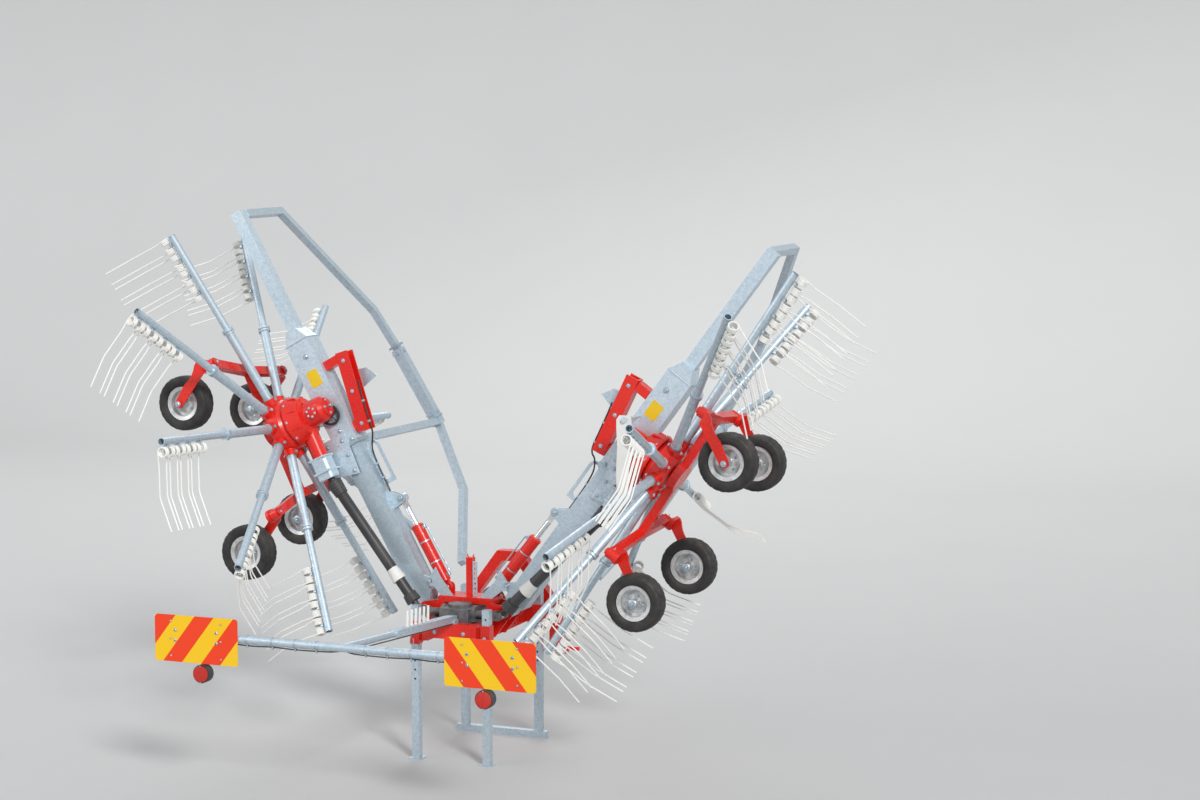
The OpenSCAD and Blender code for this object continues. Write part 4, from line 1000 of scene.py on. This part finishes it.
eachSide(addBarrelTrim, "cylinder dressings made")

# Lamps: a black body with a lens in two halves, in place of the plain ones
lamps = {
    "x": 0.918, "z": 0.818, "radius": 0.055, "lens": 0.048,
    "back": -0.022, "front": 0.0385, "bed": 0.034, "screw": (0.051, 0.0435),
}


def addLamps():
    p = lamps
    radius, lens, back, front, bed = (p[key] for key in ("radius", "lens", "back", "front", "bed"))
    t = np.linspace(-np.pi / 2, np.pi / 2, 25)
    half = np.column_stack([np.cos(t), np.sin(t)])
    body = lathe([(back, 0.0), (back, 0.050), (back + 0.005, radius), (0.036, radius), (front, radius - 0.0015),
                  (front, lens + 0.0012), (bed, lens + 0.0010), (bed, 0.0)], 48)
    y, z = p["screw"]
    lamp = [body, scatter(bolt(0.004, 0, False, 2), home, [(0, -y, z), (0, y, z)])]
    for s in (-1, 1):
        outline = half * [s, 1] * lens + [s * 0.0006, 0]
        lamp.append(stacked(outline, ((1.0, bed), (1.0, 0.0440), (0.975, 0.0468), (0.90, 0.048)), caps=True, place=1))
    spots = [facingBack(s * p["x"], -machine["lightsBack"], p["z"]) for s in (-1, 1)]
    makePiece("lampLenses", put(joined(lamp), *spots), "frame", [blackPlastic, lampRed, boltZinc],
              ["rear_lamps"])


addLamps()
print("lamps made")

# Cable and clips of the light bar, bolts of the boards, and the row of white pegs on the light arm
lightTrim = {
    "bar": 0.025, "cable": 0.0042, "clips": (0.16, 0.30, 0.45, 0.62),
    "board": 0.953, "boardLow": -0.020, "face": -0.029, "bow": 0.031,
    "pegs": 6, "pegFrom": -0.939, "pitch": 0.058, "foot": (-0.280, 0.958), "rise": 0.0691, "lean": 3.95,
}


def addLightTrim():
    p = lightTrim
    back, up = -machine["lightsBack"], machine["lightsUp"]
    under = up - p["bar"] - 0.006
    arm = [(0.026, y, z) for y, z in ((-0.33, 0.9105), (-0.80, 0.943), (-1.20, 0.972), (-1.60, 1.001), (-1.76, 1.010))]
    parts = [tube(along(machineFrame, smoothPath(arm, 4)), p["cable"], 8, up=(1, 0, 0))]
    strap = hoop(-0.005, 0.005, p["bar"] + 0.0004, p["bar"] + 0.0022, 32, 1)
    lug = block((-0.005, -0.007, -0.045), (0.005, 0.007, -0.024), 0.0015, 1)
    clip = joined([moved(strap, (0, 0, 0), "y", 90), lug])
    t = np.linspace(-np.pi / 2, np.pi / 2, 13)
    bow = [(p["face"], -p["bow"]), *zip(p["bow"] * np.cos(t), p["bow"] * np.sin(t)), (p["face"], p["bow"])]
    for s in (-1, 1):
        run = [(s * x, back + y, under + z) for x, y, z in
               ((0.03, 0.03, 0), (0.10, 0, -0.001), (0.30, 0, -0.004), (0.45, 0, 0), (0.60, 0, -0.004), (0.80, 0, 0),
                (0.87, 0.012, -0.030), (0.90, 0.016, 0.872 - under))]
        parts.append(tube(along(machineFrame, smoothPath(run, 6)), p["cable"], 8, up=(0, 1, 0)))
        parts.append(scatter(clip, machineFrame, [(s * x, back, up) for x in p["clips"]]))
        # boards: six bolts each and two bows round the bar
        mid = facingBack(s * p["board"], back + p["face"], up)
        spots = [(dx, p["boardLow"] + dz, 0) for dx in (-0.17, 0.17) for dz in (-0.105, 0.0, 0.105)]
        parts.append(scatter(bolt(0.0065, 0.0, False, 1), mid, spots))
        for dx in (-0.14, 0.14):
            path = along(machineFrame, [(s * p["board"] + dx, back + y, up + z) for y, z in bow])
            parts += [tube(path, 0.004, 8, up=(1, 0, 0), place=1),
                      scatter(bolt(0.008, 0.002, place=1), mid, [(dx, -p["bow"], 0), (dx, p["bow"], 0)])]
    peg = lathe([(-0.030, 0.0075), (-0.028, 0.0086), (0.001, 0.0086), (0.001, 0.0125), (0.005, 0.0125), (0.006, 0.0090),
                 (0.096, 0.0084), (0.100, 0.0068)], 16, 2)
    rows = p["pegFrom"] + p["pitch"] * np.arange(p["pegs"])
    y0, z0 = p["foot"]
    parts.append(scatter(peg, machineFrame, [(0, y, z0 + (y0 - y) * p["rise"]) for y in rows], "x", -p["lean"]))
    makePiece("lightTrim", joined(parts), "frame", [blackPlastic, boltZinc, whitePlastic])


addLightTrim()
print("light arm dressings made")

# Perforated strip beside the guide post, rail bolts and the cone over the input stub
postTrim = {"x": (0.030, 0.062), "y": -0.036, "z": (1.040, 1.270), "holes": 7, "bore": 0.008, "thick": 0.004}


def addPostTrim():
    p = postTrim
    (x0, x1), (z0, z1) = p["x"], p["z"]
    cell, w = (z1 - z0) / p["holes"], (x1 - x0) / 2
    # square cells one above the other, each a plate round a hole, with the outline's points facing the hole's
    outer = np.array([(1, 0), (1, 1), (0, 1), (-1, 1), (-1, 0), (-1, -1), (0, -1), (1, -1)]) * [w, cell / 2]
    inner = circle(p["bore"], 8)[:, :2]
    rings = [np.column_stack([ring[:, 0], np.full(8, y), ring[:, 1]]) for ring, y in
             ((outer, 0), (outer, p["thick"]), (inner, p["thick"]), (inner, 0))]
    one = grid(np.array(rings), wrapU=True, wrapV=True)
    parts = [scatter(one, machineFrame, [((x0 + x1) / 2, p["y"], z0 + cell * (i + 0.5)) for i in range(p["holes"])]),
             put(bolt(0.011, 0.004, place=1), *[facingBack(x, -0.340, 0.850) for x in (-0.10, 0.10)])]
    makePiece("postTrim", joined(parts), "frame", [zinc, boltZinc])
    cup = lathe([(0.0, 0.040), (0.004, 0.064), (0.030, 0.070), (0.090, 0.086), (0.100, 0.087), (0.100, 0.084),
                 (0.088, 0.083), (0.030, 0.067), (0.006, 0.060), (0.004, 0.040)], 40, loop=True)
    makePiece("shaftCone", put(cup, facingFront(0, 0.262, machine["pinZ"])), "frame", [blackPlastic])


addPostTrim()
print("post dressings made")

# Floor, light and world
studio = {
    "floor": (0.58, 0.58, 0.575), "sky": 0.50,
    "sun": {"from": (10.5, -11.0, 11.0), "level": 2.15, "angle": 12.0},
    "lamps": {"fill": ((-16.0, -14.0, 10.0), 12.0, 850.0), "rim": ((-5.0, 15.0, 13.0), 10.0, 780.0)},
    "aim": (0.0, 0.0, 1.6),
}


def addStudio():
    # the floor runs flat, then bends up into the backdrop: y = 14 + 8 sin t, z = 8 (1 - cos t)
    t = np.linspace(0, np.pi / 2, 20)
    run = np.concatenate([[-30.0, -10.0, 4.0], 14 + 8 * np.sin(t), [22.0]])
    rise = np.concatenate([[0, 0, 0], 8 * (1 - np.cos(t)), [26.0]])
    x = np.linspace(-34, 34, 12)
    points = np.stack([np.broadcast_to(x, (len(run), 12)), np.broadcast_to(run[:, None], (len(run), 12)),
                       np.broadcast_to(rise[:, None], (len(run), 12))], -1)
    mesh = bpy.data.meshes.new("floor")
    i, j = np.arange(len(run) - 1)[:, None], np.arange(11)[None, :]
    quads = np.stack([i * 12 + j, i * 12 + j + 1, (i + 1) * 12 + j + 1, (i + 1) * 12 + j], -1).reshape(-1, 4)
    mesh.from_pydata(points.reshape(-1, 3).tolist(), [], quads.tolist())
    mesh.polygons.foreach_set("use_smooth", np.ones(len(quads), bool))
    floor = linked("floor", mesh)
    material, tree, sockets = newMaterial("floorPaper", 0.9, Specular_IOR_Level=0.1)
    patches = spread(tree, noise(tree, 0.6, 3.0), 0.3, 0.7)
    layered(tree, sockets, studio["floor"], (patches, tuple(v * 0.985 for v in studio["floor"])))
    mesh.materials.append(material)
    sun = bpy.data.lights.new("key", "SUN")
    sun.energy, sun.angle = studio["sun"]["level"], math.radians(studio["sun"]["angle"])
    hung = [(sun, studio["sun"]["from"])]
    for name, (spot, size, power) in studio["lamps"].items():
        data = bpy.data.lights.new(name, "AREA")
        data.shape, data.size, data.energy = "DISK", size, power
        hung.append((data, spot))
    for data, spot in hung:
        aimed(data.name, data, spot, np.subtract(studio["aim"], spot))
    world = bpy.data.worlds.new("studio")
    bpy.context.scene.world = world
    world.use_nodes = True
    tree = world.node_tree
    path = node(tree, "ShaderNodeLightPath").outputs
    through = maths(tree, "MAXIMUM", path["Is Glossy Ray"], path["Is Transmission Ray"])
    seen = maths(tree, "MAXIMUM", path["Is Camera Ray"], through)
    background = tree.nodes["Background"]
    background.inputs["Color"].default_value = (0.93, 0.96, 1.0, 1.0)
    tree.links.new(spread(tree, seen, 0.0, 1.0, (studio["sky"], 1.0)), background.inputs["Strength"])
    bpy.context.scene.view_settings.view_transform = "Standard"


addStudio()
print("studio set")
